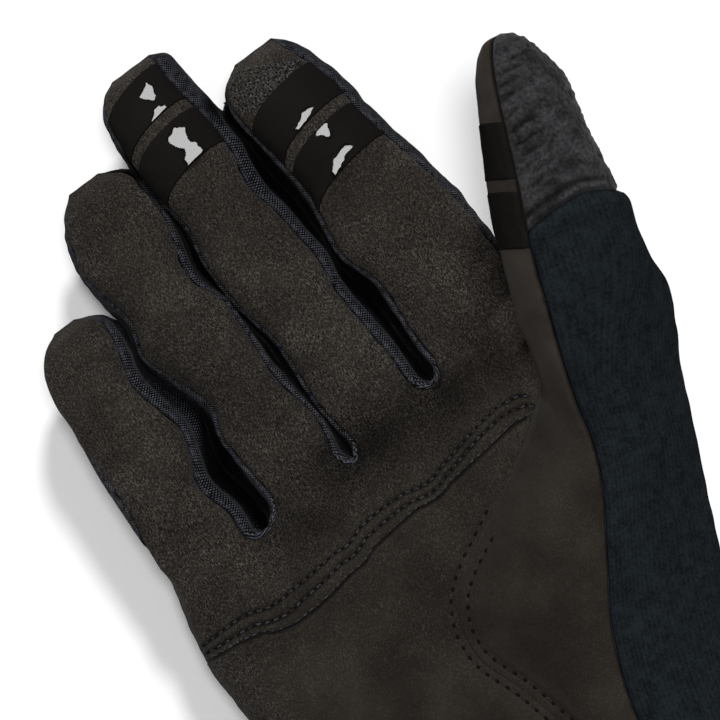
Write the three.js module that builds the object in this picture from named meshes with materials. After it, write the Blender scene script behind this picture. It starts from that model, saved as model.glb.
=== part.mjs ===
// A full-finger cycling glove for the right hand, filled out and lying on its back, palm up.
// Millimetres. +X points to the thumb's side, +Y to the fingertips, +Z up out of the palm.
// Every cloth piece is cut from one closed skin. Its rows run across the hand, and each loop of a
// row goes over the palm, down the thumb's side, back under the hand and up the little finger's side.
import * as THREE from 'three';

// Finger lengths, from the palm's end of each finger to its tip
const PINKY_LENGTH = 57;
const RING_LENGTH = 78.5;
const MIDDLE_LENGTH = 92;
const INDEX_LENGTH = 79.5;
const THUMB_LENGTH = 52;

// The palm's width below the fingers, shared out to the fingers and the spaces between them
const PALM_WIDTH = 92;
const PINKY_WIDTH = PALM_WIDTH * 0.2065;
const RING_WIDTH = PALM_WIDTH * 0.2174;
const MIDDLE_WIDTH = PALM_WIDTH * 0.2065;
const INDEX_WIDTH = PALM_WIDTH * 0.2391;
const THUMB_WIDTH = PALM_WIDTH * 0.2609;
const PINKY_RING_SPACE = PALM_WIDTH * 0.0348;
const RING_MIDDLE_SPACE = PALM_WIDTH * 0.0413;
const MIDDLE_INDEX_SPACE = PALM_WIDTH * 0.0533;

// Depths from back to front, and how high the filled fingers lie
const FINGER_DEPTH = 18;
const FINGER_BASE_HEIGHT = 11.5;
const FINGER_TIP_RISE = 4.5;
const RISE_POWER = 1.5;
const THUMB_DEPTH = 25;
const THUMB_CLEARANCE = 1.5;
const THUMB_TIP_RISE = 8;
const THUMB_MIDDLE = 1.18;
const THUMB_START = 1;
const PALM_DEPTH = 26;

// The hand below the fingers
const PALM_LENGTH = 105;
const CUFF_LENGTH = 38;
const HEEL_SEAM = 19;
const KNUCKLE_FADE = 25;
const THUMB_TURN = THREE.MathUtils.degToRad(20);
const THUMB_BEND = 0.3;
const TERRY_HEM = 15.5;
const HEM_CLEAR = 0.04;

// Walls and the gaps left at the seams
const SUEDE_WALL = 1.3;
const STRETCH_WALL = 1.2;
const FOURCHETTE_WALL = 1.1;
const TERRY_WALL = 2;
const CUFF_WALL = 2;
const SEAM_GAP = 0.3;
const FINGER_GAP = 0.9;
const MITRE_LIMIT = 2;

// Silicone bars printed on the fingertips
const GRIP_WALL = 0.6;
const GRIP_GAP = 0.45;
const GRIP_EDGE = 1.2;
const GRIP_BOW = 2.3;
const FINGER_GRIP = 9.5;
const THUMB_GRIP = 11.5;
const MIDDLE_GRIP_DROP = 7.5;
const INDEX_GRIP_DROP = 14.5;
const THUMB_GRIP_DROP = 18.2;
const THUMB_GRIP_TURN = THREE.MathUtils.degToRad(36);
const GRIP_SPACE = 2.4;
const GRIP_BANDS = 4;

// Steps of the mesh across each part of a loop
const FRONT_STEPS = 4;
const SIDE_STEPS = 3;
const SLOT_STEPS = 3;
const THUMB_FRONT_STEPS = 4;
const THUMB_BACK_STEPS = 8;

// How full a finger's front and back are, and the share of its depth where the suede is sewn on: high
// at the root, where the front runs flat into the palm, and lower past ROOT_END of its length.
const DOME_POWER = 2.4;
const SEAM_SHARE = 0.42;
const ROOT_SHARE = 0.86;
const ROOT_END = 0.3;
const BACK_SEAM_SHARE = 0.5;

function table(columns, ...rows) {
  return rows.map((row) => Object.fromEntries(columns.map((name, i) => [name, row[i]])));
}

// Each row is one section of a finger. along is a share of its length, the seams and edges are shares
// of half its width from its middle line, and depth is a share of half the finger's depth. The
// seams bear in and out where the suede puckers.
const FINGER_COLUMNS = ['along', 'seamL', 'seamR', 'edgeL', 'edgeR', 'depth'];

const PINKY_ROWS = table(FINGER_COLUMNS,
  [0, -1.20, 0.79, -1.20, 1.02, 1],
  [0.10, -1.14, 0.81, -1.14, 1.06, 0.97],
  [0.23, -1.10, 0.58, -1.10, 0.90, 0.95],
  [0.35, -1.05, 0.89, -1.05, 1.10, 0.93],
  [0.46, -1.01, 1.04, -1.01, 1.24, 0.91],
  [0.58, -0.92, 0.85, -0.92, 1.12, 0.89],
  [0.68, -0.84, 0.76, -0.84, 1.06, 0.86],
  [0.79, -0.81, 0.94, -0.81, 1.18, 0.82],
  [0.88, -0.66, 1.06, -0.66, 1.28, 0.72],
  [0.95, -0.40, 1.00, -0.40, 1.16, 0.50],
  [1, 0.08, 0.62, 0.08, 0.62, 0]);

const RING_ROWS = table(FINGER_COLUMNS,
  [0, -0.54, 0.92, -0.82, 1.10, 1],
  [0.12, -0.60, 1.15, -0.86, 1.26, 0.97],
  [0.24, -0.63, 1.00, -0.84, 1.20, 0.95],
  [0.32, -0.42, 0.97, -0.72, 1.12, 0.93],
  [0.45, -0.75, 1.04, -0.98, 1.16, 0.91],
  [0.53, -0.95, 1.04, -1.12, 1.16, 0.89],
  [0.62, -0.72, 0.78, -1.00, 1.02, 0.87],
  [0.70, -0.80, 0.86, -1.02, 1.12, 0.85],
  [0.80, -0.92, 1.10, -1.02, 1.30, 0.80],
  [0.90, -0.74, 1.10, -0.84, 1.28, 0.68],
  [0.96, -0.46, 0.98, -0.52, 1.08, 0.46],
  [1, -0.20, 0.55, -0.20, 0.55, 0]);

const MIDDLE_ROWS = table(FINGER_COLUMNS,
  [0, -0.83, 0.84, -1.04, 1.06, 1],
  [0.12, -1.00, 0.87, -1.14, 1.12, 0.98],
  [0.21, -0.95, 0.82, -1.12, 1.08, 0.96],
  [0.31, -0.89, 0.77, -1.08, 1.02, 0.95],
  [0.40, -1.09, 0.88, -1.20, 1.12, 0.93],
  [0.48, -1.15, 0.81, -1.26, 1.08, 0.92],
  [0.55, -1.13, 0.74, -1.26, 1.02, 0.90],
  [0.62, -0.96, 0.59, -1.18, 0.94, 0.88],
  [0.71, -1.06, 0.77, -1.22, 1.06, 0.86],
  [0.80, -1.11, 0.75, -1.24, 1.12, 0.82],
  [0.88, -1.06, 0.64, -1.16, 1.04, 0.74],
  [0.94, -0.94, 0.60, -1.02, 1.00, 0.58],
  [0.98, -0.70, 0.62, -0.74, 0.92, 0.34],
  [1, -0.42, 0.60, -0.42, 0.60, 0]);

const INDEX_ROWS = table(FINGER_COLUMNS,
  [0, -0.85, 1.20, -1.04, 1.34, 1],
  [0.12, -0.94, 1.25, -1.10, 1.40, 0.98],
  [0.22, -0.88, 1.27, -1.06, 1.43, 0.96],
  [0.33, -0.87, 1.26, -1.06, 1.40, 0.95],
  [0.42, -1.10, 1.18, -1.22, 1.36, 0.93],
  [0.51, -1.04, 1.05, -1.20, 1.25, 0.91],
  [0.61, -0.92, 0.89, -1.12, 1.13, 0.89],
  [0.71, -0.97, 0.75, -1.16, 0.99, 0.86],
  [0.81, -1.07, 0.69, -1.22, 0.92, 0.80],
  [0.90, -1.13, 0.50, -1.22, 0.74, 0.68],
  [0.96, -0.96, 0.34, -1.00, 0.54, 0.46],
  [1, -0.60, 0.26, -0.60, 0.26, 0]);

// The thumb's sections. left and right are shares of half its width, up and down of half its depth,
// and seam is the angle round the section, from its right edge, where the suede is sewn to the back.
const THUMB_ROWS = table(['along', 'left', 'right', 'up', 'down', 'seam'],
  [0, -1.22, 1.40, 1.00, 0.98, 122],
  [0.10, -1.16, 1.34, 0.97, 0.95, 123],
  [0.20, -1.10, 1.24, 0.94, 0.92, 122],
  [0.30, -1.07, 1.13, 0.90, 0.88, 121],
  [0.42, -1.00, 1.04, 0.84, 0.82, 120],
  [0.55, -0.90, 0.93, 0.78, 0.76, 121],
  [0.67, -0.82, 0.87, 0.72, 0.70, 122],
  [0.78, -0.74, 0.80, 0.66, 0.64, 123],
  [0.88, -0.62, 0.56, 0.56, 0.55, 124],
  [0.95, -0.47, 0.35, 0.43, 0.42, 125],
  [0.985, -0.28, 0.20, 0.26, 0.25, 125]);
const THUMB_TIP_SHIFT = -0.02;
const THUMB_POWER = 2.15;
const WEB_FRONT_ANGLE = 205;
const WEB_BACK_ANGLE = 250;

// The hand below the fingers. along is a share of the palm's length down from the fingers. Every x is
// a share of half the palm's breadth from its middle, and every z is a share of the palm's depth:
// ulnar the little finger's edge, crown the palm's crown, thenar the curved seam round the
// thumb's base, mound the fold beside it, suede the suede's other edge, top the highest line,
// radial the thumb's edge, back the seam at the back.
const HAND_ROWS = table(
  ['along', 'ulnarX', 'ulnarZ', 'crownZ', 'thenarX', 'thenarZ', 'moundX', 'moundZ', 'suedeX', 'suedeZ',
    'topX', 'topZ', 'radialX', 'radialZ', 'backX', 'backZ'],
  [0, -1.00, 0.50, 0.84, 0.93, 0.80, 0.81, 1.24, 1.01, 1.66, 1.21, 1.78, 1.49, 1.20, 1.14, 0.30],
  [0.095, -1.05, 0.50, 0.88, 0.84, 0.88, 0.79, 1.24, 0.93, 1.60, 1.15, 1.70, 1.53, 1.12, 1.13, 0.20],
  [0.18, -1.08, 0.50, 0.93, 0.62, 0.92, 0.76, 1.26, 0.87, 1.52, 1.09, 1.58, 1.43, 1.04, 1.11, 0.12],
  [0.257, -1.08, 0.50, 0.98, 0.34, 0.93, 0.66, 1.28, 0.83, 1.44, 1.03, 1.48, 1.33, 0.96, 1.06, 0.10],
  [0.343, -1.07, 0.50, 1.02, 0.00, 0.95, 0.44, 1.28, 0.75, 1.40, 0.96, 1.42, 1.25, 0.88, 1.00, 0.08],
  [0.457, -1.05, 0.50, 1.06, -0.11, 0.98, 0.22, 1.25, 0.59, 1.35, 0.80, 1.35, 1.14, 0.80, 0.92, 0.08],
  [0.59, -0.99, 0.52, 1.08, -0.03, 1.01, 0.16, 1.19, 0.41, 1.27, 0.63, 1.27, 1.01, 0.75, 0.82, 0.08],
  [0.76, -0.91, 0.55, 1.09, 0.04, 1.07, 0.14, 1.15, 0.28, 1.19, 0.49, 1.21, 0.84, 0.70, 0.67, 0.08],
  [1, -0.83, 0.60, 1.16, 0.05, 1.16, 0.14, 1.18, 0.26, 1.18, 0.40, 1.16, 0.70, 0.66, 0.53, 0.12]);
// Soft folds in the palm: where each starts and ends, across as for the rows above and along as a
// share of the palm's length, and how far it reaches to each side and down, as shares of its depth.
const FOLD_ROWS = table(['fromX', 'fromAlong', 'toX', 'toAlong', 'reach', 'sink'],
  [-0.10, 0.01, -0.34, 0.07, 0.14, 0.05],
  [0.46, 0.01, 0.70, 0.11, 0.14, 0.05]);
const CUFF_STEPS = 2;
const CUFF_FLARE = 1.05;
const FLARE_HEIGHT = 0.6;
const EDGE_ROUND = 0.34;
const EDGE_POWER = 2.2;
const BACK_FADE = 0.15;

// The rows of the mesh down the hand, as shares of the palm's length below the triple seam, and the
// way that this seam swings across the palm, as shares of the palm's length.
const UPPER_STEPS = 4;
const HEEL_ALONG = [0.04, 0.08, 0.12, 0.17, 0.23, 0.31, 0.41, 0.54, 0.70, 0.85, 1];
const SEAM_SWING = table(['across', 'shift'], [0, 0.012], [0.12, 0], [0.28, -0.034], [0.5, -0.006],
  [0.75, 0.002], [1, 0.024]);
const SWING_FADE = 0.3;

// Helpers for the tables

function lerp(a, b, t) {
  return a + (b - a) * t;
}

function smooth(t) {
  const s = THREE.MathUtils.clamp(t, 0, 1);
  return s * s * (3 - 2 * s);
}

// One row of a table at a place between its rows, every column joined by a smooth curve.
function rowAt(rows, key, at) {
  const last = rows.length - 2;
  const found = rows.findIndex((row) => row[key] > at) - 1;
  const i = found < 0 ? (at <= rows[0][key] ? 0 : last) : found;
  const four = [rows[Math.max(i - 1, 0)], rows[i], rows[i + 1], rows[Math.min(i + 2, last + 1)]];
  const span = four[2][key] - four[1][key];
  const t = THREE.MathUtils.clamp((at - four[1][key]) / span, 0, 1);
  const result = {};
  for (const name of Object.keys(rows[0])) {
    const [p0, p1, p2, p3] = four.map((row) => row[name]);
    const before = Math.max(four[2][key] - four[0][key], span);
    const after = Math.max(four[3][key] - four[1][key], span);
    const m1 = ((p2 - p0) / before) * span;
    const m2 = ((p3 - p1) / after) * span;
    const a = 2 * p1 - 2 * p2 + m1 + m2;
    const b = -3 * p1 + 3 * p2 - 2 * m1 - m2;
    result[name] = ((a * t + b) * t + m1) * t + p1;
  }
  return result;
}

function dome(u) {
  return (1 - Math.min(Math.abs(u), 1) ** DOME_POWER) ** (1 / DOME_POWER);
}

// The skin: shared points, and faces that each belong to one piece of cloth.

const points = [];
const faces = [];

function addPoint(x, y, z) {
  return points.push(new THREE.Vector3(x, y, z)) - 1;
}

function addFace(piece, corners) {
  const kept = corners.filter((corner, i) => corner !== corners[(i + 1) % corners.length]);
  if (kept.length > 2) {
    faces.push({ piece, corners: kept });
  }
}

// Rows of points run towards the fingertips, and each row runs the way that the loops do.
function addGrid(piece, rows) {
  for (let i = 0; i + 1 < rows.length; i++) {
    for (let j = 0; j + 1 < rows[i].length; j++) {
      addFace(piece, [rows[i][j], rows[i][j + 1], rows[i + 1][j + 1], rows[i + 1][j]]);
    }
  }
}

// Fingers

const RING_MIDDLE_PITCH = RING_WIDTH / 2 + RING_MIDDLE_SPACE + MIDDLE_WIDTH / 2;
const PINKY_RING_PITCH = PINKY_WIDTH / 2 + PINKY_RING_SPACE + RING_WIDTH / 2;
const MIDDLE_INDEX_PITCH = MIDDLE_WIDTH / 2 + MIDDLE_INDEX_SPACE + INDEX_WIDTH / 2;

// Where the two sides of each finger leave the palm, as shares of the palm's width.
const [PINKY_START, RING_START, MIDDLE_START, INDEX_START] = table(['left', 'right'],
  [0, 0], [0.027, 0.022], [0.022, 0.054], [0.054, 0.065]);
const FINGERS = [
  { name: 'pinky', middle: -RING_MIDDLE_PITCH - PINKY_RING_PITCH, width: PINKY_WIDTH,
    length: PINKY_LENGTH, rows: PINKY_ROWS, start: PINKY_START, outer: 'ulnar' },
  { name: 'ring', middle: -RING_MIDDLE_PITCH, width: RING_WIDTH,
    length: RING_LENGTH, rows: RING_ROWS, start: RING_START },
  { name: 'middle', middle: 0, width: MIDDLE_WIDTH,
    length: MIDDLE_LENGTH, rows: MIDDLE_ROWS, start: MIDDLE_START },
  { name: 'index', middle: MIDDLE_INDEX_PITCH, width: INDEX_WIDTH,
    length: INDEX_LENGTH, rows: INDEX_ROWS, start: INDEX_START },
];
const SLOT_DEPTH = 4.2;

// The x of a seam or an edge of a finger at a height y, or null past its tip.
function sideAt(finger, column, y) {
  if (y > finger.length) {
    return null;
  }
  const row = rowAt(finger.rows, 'along', Math.max(y, 0) / finger.length);
  return finger.middle + (row[column] * finger.width) / 2;
}

// A fourchette bulges past its suede, but only up to half of the space to the next finger.
function bulged(finger, side, y) {
  const hand = side === 'R' ? 1 : -1;
  const seam = sideAt(finger, 'seam' + side, y);
  const edge = sideAt(finger, 'edge' + side, y);
  const neighbour = FINGERS[FINGERS.indexOf(finger) + hand];
  const facing = neighbour ? sideAt(neighbour, side === 'R' ? 'seamL' : 'seamR', y) : null;
  if (facing === null) {
    return edge;
  }
  const room = Math.max((hand * (facing - seam) - FINGER_GAP) / 2, 0);
  return seam + hand * Math.min(hand * (edge - seam), room);
}

function fingerAxis(share) {
  return FINGER_BASE_HEIGHT + FINGER_TIP_RISE * share ** RISE_POWER;
}

// One loop of a finger: front, right side, back and left side share their end points.
function fingerLoop(finger, row) {
  const half = (row.depth * FINGER_DEPTH) / 2;
  const axis = fingerAxis(row.along);
  const yOf = (share) => {
    const start = PALM_WIDTH * lerp(finger.start.left, finger.start.right, share);
    return start + row.along * (finger.length - start);
  };
  const yL = yOf(0);
  const yR = yOf(1);
  const seamL = sideAt(finger, 'seamL', yL);
  const seamR = sideAt(finger, 'seamR', yR);
  const edgeL = bulged(finger, 'L', yL);
  const edgeR = bulged(finger, 'R', yR);
  const seamZ = half * lerp(ROOT_SHARE, SEAM_SHARE, smooth(row.along / ROOT_END));
  const backL = finger.outer === 'ulnar' ? seamL : lerp(seamL, edgeL, BACK_SEAM_SHARE);
  const backR = lerp(seamR, edgeR, BACK_SEAM_SHARE);
  const front = [];
  const back = [];
  for (let j = 0; j <= FRONT_STEPS; j++) {
    const u = -Math.cos((Math.PI * j) / FRONT_STEPS);
    const across = (u + 1) / 2;
    const x = lerp(seamL, seamR, across);
    front.push(addPoint(x, yOf(across), axis + lerp(seamZ, half, dome(u))));
    if (half === 0) {
      back.push(front[j]);
    } else if (j === 0 && finger.outer === 'ulnar') {
      back.push(front[0]);
    } else {
      const z = axis - lerp(half * SEAM_SHARE, half, dome(u));
      back.push(addPoint(lerp(backL, backR, across), yOf(across), z));
    }
  }
  if (finger.outer === 'ulnar' && half > 0) {
    points[front[0]].z = axis;
  }
  const side = (from, to, edge) => {
    const made = [];
    for (let k = 0; k <= SIDE_STEPS; k++) {
      const v = k / SIDE_STEPS;
      const a = points[from];
      const b = points[to];
      const bulge = (edge - (a.x + b.x) / 2) * (1 - (2 * v - 1) ** 2);
      const inner = k > 0 && k < SIDE_STEPS && from !== to;
      made.push(inner ? addPoint(lerp(a.x, b.x, v) + bulge, lerp(a.y, b.y, v), lerp(a.z, b.z, v))
        : k < SIDE_STEPS ? from : to);
    }
    return made;
  };
  const last = FRONT_STEPS;
  return {
    front,
    back,
    right: side(front[last], back[last], edgeR),
    left: finger.outer === 'ulnar' ? [front[0]] : side(front[0], back[0], edgeL),
  };
}

for (const finger of FINGERS) {
  finger.loops = finger.rows.map((row) => fingerLoop(finger, row));
}
const [PINKY, RING, MIDDLE, INDEX] = FINGERS;

// Thumb: loops square to its own axis, from the front of the web over its top to the back of the web.

const PALM_LEFT = points[PINKY.loops[0].front[0]].x;
const PALM_RIGHT = points[INDEX.loops[0].front[FRONT_STEPS]].x;
const PALM_MIDDLE = (PALM_LEFT + PALM_RIGHT) / 2;
const PALM_HALF = (PALM_RIGHT - PALM_LEFT) / 2;
const thumbBase = new THREE.Vector3(
  PALM_MIDDLE + THUMB_MIDDLE * PALM_HALF,
  THUMB_START,
  FINGER_BASE_HEIGHT + (FINGER_DEPTH + THUMB_DEPTH) / 2 + THUMB_CLEARANCE,
);

function thumbPoint(share, across, rise) {
  const turn = THUMB_TURN * smooth(share / THUMB_BEND);
  const along = share * THUMB_LENGTH;
  const x = thumbBase.x + along * Math.sin(THUMB_TURN) + across * Math.cos(turn);
  const y = thumbBase.y + along * Math.cos(THUMB_TURN) - across * Math.sin(turn);
  return addPoint(x, y, thumbBase.z + THUMB_TIP_RISE * share + rise);
}

function thumbSection(row, degrees) {
  const angle = THREE.MathUtils.degToRad(degrees);
  const cos = Math.cos(angle);
  const sin = Math.sin(angle);
  const across = (cos < 0 ? -row.left : row.right) * (THUMB_WIDTH / 2);
  const rise = (sin < 0 ? row.down : row.up) * (THUMB_DEPTH / 2);
  const x = Math.sign(cos) * Math.abs(cos) ** (2 / THUMB_POWER) * across;
  const z = Math.sign(sin) * Math.abs(sin) ** (2 / THUMB_POWER) * rise;
  return thumbPoint(row.along, x, z);
}

function steps(from, to, count) {
  return Array.from({ length: count + 1 }, (_, i) => lerp(from, to, i / count));
}

// The terry's hem has a row of its own, in place of one that lies too close to it.
const hemShare = TERRY_HEM / THUMB_LENGTH;
const hem = rowAt(THUMB_ROWS, 'along', hemShare);
const otherRows = THUMB_ROWS.filter((row) => Math.abs(row.along - hemShare) > HEM_CLEAR);
const thumbRows = [...otherRows, hem].sort((a, b) => a.along - b.along);
const hemRow = thumbRows.indexOf(hem);

const thumbLoops = thumbRows.map((row) => {
  const front = steps(WEB_FRONT_ANGLE, row.seam, THUMB_FRONT_STEPS).map((a) => thumbSection(row, a));
  const over = steps(row.seam, WEB_BACK_ANGLE - 360, THUMB_BACK_STEPS).slice(1);
  const back = [front[THUMB_FRONT_STEPS], ...over.map((a) => thumbSection(row, a))];
  const web = steps(WEB_BACK_ANGLE, WEB_FRONT_ANGLE, SIDE_STEPS).slice(1, -1);
  const inner = [back[THUMB_BACK_STEPS], ...web.map((a) => thumbSection(row, a)), front[0]];
  return { front, back, inner };
});
const thumbTip = thumbPoint(1, THUMB_TIP_SHIFT * THUMB_WIDTH, 0);
thumbLoops.push({
  front: thumbLoops[0].front.map(() => thumbTip),
  back: thumbLoops[0].back.map(() => thumbTip),
  inner: thumbLoops[0].inner.map(() => thumbTip),
});

// Slots between the fingers: columns of points from the front seam to the back seam round the end of
// the slot, the first and last of them shared with the fingers on both sides.

function slotColumns(left, right) {
  const columns = [left];
  for (let m = 1; m < SLOT_STEPS; m++) {
    const angle = (Math.PI * m) / SLOT_STEPS;
    const share = (1 - Math.cos(angle)) / 2;
    columns.push(left.map((id, k) => {
      const a = points[id];
      const b = points[right[k]];
      const y = lerp(a.y, b.y, share) - SLOT_DEPTH * Math.sin(angle);
      return addPoint(lerp(a.x, b.x, share), y, lerp(a.z, b.z, share));
    }));
  }
  columns.push(right);
  return columns;
}

const slots = [[PINKY, RING], [RING, MIDDLE], [MIDDLE, INDEX]].map(([a, b]) =>
  slotColumns(a.loops[0].right, b.loops[0].left));

// The web between index and thumb has one column at its lowest point.
const WEB_DROP = 8;
const WEB_IN = 3.5;
const WEB_FRONT_HEIGHT = 0.86;
const WEB_BACK_HEIGHT = 0.3;
const indexSide = INDEX.loops[0].right;
const thumbInner = [...thumbLoops[0].inner].reverse();
const webColumn = indexSide.map((id, k) => {
  const v = k / SIDE_STEPS;
  const z = PALM_DEPTH * lerp(WEB_FRONT_HEIGHT, WEB_BACK_HEIGHT, v);
  return addPoint(PALM_RIGHT - WEB_IN * (1 - v), PALM_WIDTH * INDEX.start.right - WEB_DROP, z);
});

// The hand below the fingers

const topFront = [
  ...PINKY.loops[0].front,
  ...slots[0].slice(1, -1).map((column) => column[0]),
  ...RING.loops[0].front,
  ...slots[1].slice(1, -1).map((column) => column[0]),
  ...MIDDLE.loops[0].front,
  ...slots[2].slice(1, -1).map((column) => column[0]),
  ...INDEX.loops[0].front,
  webColumn[0],
];
const topThumb = [...thumbLoops[0].front, ...thumbLoops[0].back.slice(1)];
const backOf = (finger) => [...finger.loops[0].back].reverse();
const slotBack = (slot) => slot.slice(1, -1).map((column) => column[SIDE_STEPS]).reverse();
const topBack = [
  webColumn[SIDE_STEPS],
  ...backOf(INDEX), ...slotBack(slots[2]),
  ...backOf(MIDDLE), ...slotBack(slots[1]),
  ...backOf(RING), ...slotBack(slots[0]),
  ...backOf(PINKY),
];

// Shares of the way along a row of points.
function shares(ids) {
  const lengths = [0];
  for (let i = 1; i < ids.length; i++) {
    const a = points[ids[i - 1]];
    const b = points[ids[i]];
    lengths.push(lengths[i - 1] + Math.hypot(a.x - b.x, a.y - b.y));
  }
  return lengths.map((length) => length / lengths[ids.length - 1]);
}

const frontShares = shares(topFront);
const backShares = shares(topBack);

function handX(share) {
  return PALM_MIDDLE + share * PALM_HALF;
}

function rounded(share) {
  const s = THREE.MathUtils.clamp(share / EDGE_ROUND, 0, 1);
  return (1 - (1 - s) ** EDGE_POWER) ** (1 / EDGE_POWER);
}

// One loop of the hand as plain points, each part from the row of the table at its own height.
function handLoop(along, swing, flare = 1) {
  const at = (share) => {
    const shift = swing * rowAt(SEAM_SWING, 'across', share).shift;
    const down = along - shift;
    return { row: rowAt(HAND_ROWS, 'along', Math.min(down, 1)), y: -down * PALM_LENGTH };
  };
  const right = at(1);
  const front = frontShares.map((share) => {
    const { row, y } = at(share);
    const crown = lerp(row.crownZ, row.thenarZ, smooth(share));
    const z = lerp(row.ulnarZ, crown, rounded(share)) * PALM_DEPTH;
    return new THREE.Vector3(handX(lerp(row.ulnarX, right.row.thenarX, share)), y, z);
  });
  const row = right.row;
  const names = ['thenar', 'mound', 'suede', 'top', 'radial', 'back'];
  const knots = names.map((name) =>
    new THREE.Vector3(handX(row[name + 'X']), right.y, row[name + 'Z'] * PALM_DEPTH));
  const curve = new THREE.CatmullRomCurve3(knots, false, 'centripetal');
  const spans = knots.length - 1;
  const suede = steps(0, 2, THUMB_FRONT_STEPS + 1).map((t) => curve.getPoint(t / spans));
  const rest = steps(2, spans, THUMB_BACK_STEPS + 1).slice(1).map((t) => curve.getPoint(t / spans));
  const back = backShares.map((share) => {
    const left = at(1 - share);
    const lift = left.row.ulnarZ * (1 - rounded(1 - share));
    const heel = row.backZ * (1 - smooth(share / BACK_FADE));
    const z = (lift + heel) * PALM_DEPTH;
    return new THREE.Vector3(handX(lerp(row.backX, left.row.ulnarX, share)), left.y, z);
  });
  const loop = [...front, ...suede.slice(1), ...rest.slice(0, -1), ...back.slice(0, -1)];
  const middle = PALM_DEPTH * FLARE_HEIGHT;
  return loop.map((p) => new THREE.Vector3(
    PALM_MIDDLE + (p.x - PALM_MIDDLE) * flare, p.y, Math.max(middle + (p.z - middle) * flare, 0)));
}

// How far the folds sink the palm's front at a place.
function foldSink(place) {
  let sink = 0;
  for (const row of FOLD_ROWS) {
    const from = new THREE.Vector3(handX(row.fromX), -row.fromAlong * PALM_LENGTH, 0);
    const to = new THREE.Vector3(handX(row.toX), -row.toAlong * PALM_LENGTH, 0);
    const flat = new THREE.Vector3(place.x, place.y, 0);
    const nearest = new THREE.Line3(from, to).closestPointToPoint(flat, true, new THREE.Vector3());
    const away = nearest.distanceTo(flat) / (row.reach * PALM_DEPTH);
    sink += row.sink * PALM_DEPTH * Math.exp(-away * away);
  }
  return sink;
}

const topLoop = [...topFront, ...topThumb, ...topBack.slice(0, -1)];
const topPlain = handLoop(0, 0);
const seamAlong = HEEL_SEAM / PALM_LENGTH;
const upperAlong = steps(0, seamAlong, UPPER_STEPS).slice(1);
const heelAlong = HEEL_ALONG.map((share) => lerp(seamAlong, 1, share));
const handLoops = [topLoop];
for (const along of [...upperAlong, ...heelAlong]) {
  const swing = Math.max(1 - Math.abs(along - seamAlong) / SWING_FADE, 0);
  const fade = 1 - smooth((along * PALM_LENGTH) / KNUCKLE_FADE);
  const plain = handLoop(along, swing);
  handLoops.push(plain.map((p, i) => {
    const shift = points[topLoop[i]].clone().sub(topPlain[i]).multiplyScalar(fade);
    const moved = p.clone().add(shift);
    const sink = i < topFront.length - 1 ? foldSink(moved) : 0;
    return addPoint(moved.x, moved.y, Math.max(moved.z - sink, 0));
  }));
}

// The cuff goes on from the wrist, a little wider at its open end.
const wrist = handLoops[handLoops.length - 1];
const cuffLoops = [wrist];
for (const share of steps(0, 1, CUFF_STEPS).slice(1)) {
  cuffLoops.push(handLoop(1, 0, lerp(1, CUFF_FLARE, share)).map((p) =>
    addPoint(p.x, -PALM_LENGTH - share * CUFF_LENGTH, p.z)));
}

// Faces of each piece

const frontEnd = topFront.length - 1;
const suedeEnd = frontEnd + 1 + THUMB_FRONT_STEPS;
const thumbEnd = topFront.length + topThumb.length;
const close = (loop) => [...loop, loop[0]];
const columnsOf = (loops, from, to) => loops.map((loop) => close(loop).slice(from, to + 1)).reverse();
const upperLoops = handLoops.slice(0, UPPER_STEPS + 1);
const heelLoops = handLoops.slice(UPPER_STEPS);

for (const finger of FINGERS) {
  addGrid('palm_upper', finger.loops.map((loop) => loop.front));
  addGrid('back_panel', finger.loops.map((loop) => [...loop.back].reverse()));
}
addGrid('palm_upper', columnsOf(upperLoops, 0, frontEnd));
addGrid('palm_heel', columnsOf(heelLoops, 0, frontEnd));
addGrid('thumb_front', columnsOf(handLoops, frontEnd, suedeEnd));
addGrid('thumb_back', columnsOf(handLoops, suedeEnd, thumbEnd));
addGrid('back_panel', columnsOf(handLoops, thumbEnd, topLoop.length));
addGrid('cuff', columnsOf(cuffLoops, 0, topLoop.length));

const pairs = [['fourchette_pinky_ring', PINKY, RING], ['fourchette_ring_middle', RING, MIDDLE],
  ['fourchette_middle_index', MIDDLE, INDEX]];
pairs.forEach(([piece, a, b], i) => {
  addGrid(piece, a.loops.map((loop) => loop.right));
  addGrid(piece, b.loops.map((loop) => [...loop.left].reverse()));
  addGrid(piece, [...slots[i]].reverse());
});
addGrid('index_side', INDEX.loops.map((loop) => loop.right));
addGrid('index_side', [thumbInner, webColumn, indexSide]);

addGrid('thumb_front', thumbLoops.map((loop) => loop.front));
addGrid('thumb_front', thumbLoops.map((loop) => loop.inner));
addGrid('thumb_back', thumbLoops.slice(0, hemRow + 1).map((loop) => loop.back));
addGrid('thumb_terry', thumbLoops.slice(hemRow).map((loop) => loop.back));

// Walls: a piece is its faces, pushed in by its thickness along the skin's own normals, so that two
// pieces meet in a mitre at their seam, and drawn back from each seam by half the gap.

const normals = points.map(() => new THREE.Vector3());
for (const { corners } of faces) {
  const count = corners.length;
  for (let i = 0; i < count; i++) {
    const here = points[corners[i]];
    const next = points[corners[(i + 1) % count]].clone().sub(here);
    const before = points[corners[(i + count - 1) % count]].clone().sub(here);
    const angle = next.angleTo(before);
    normals[corners[i]].add(next.cross(before).normalize().multiplyScalar(angle));
  }
}
normals.forEach((normal) => normal.normalize());

function borderOf(pieceFaces) {
  const border = new Map();
  for (const { corners } of pieceFaces) {
    corners.forEach((a, i) => {
      const b = corners[(i + 1) % corners.length];
      border.set(a + ' ' + b, [a, b]);
    });
  }
  return [...border.values()].filter(([a, b]) => !border.has(b + ' ' + a));
}

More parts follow.
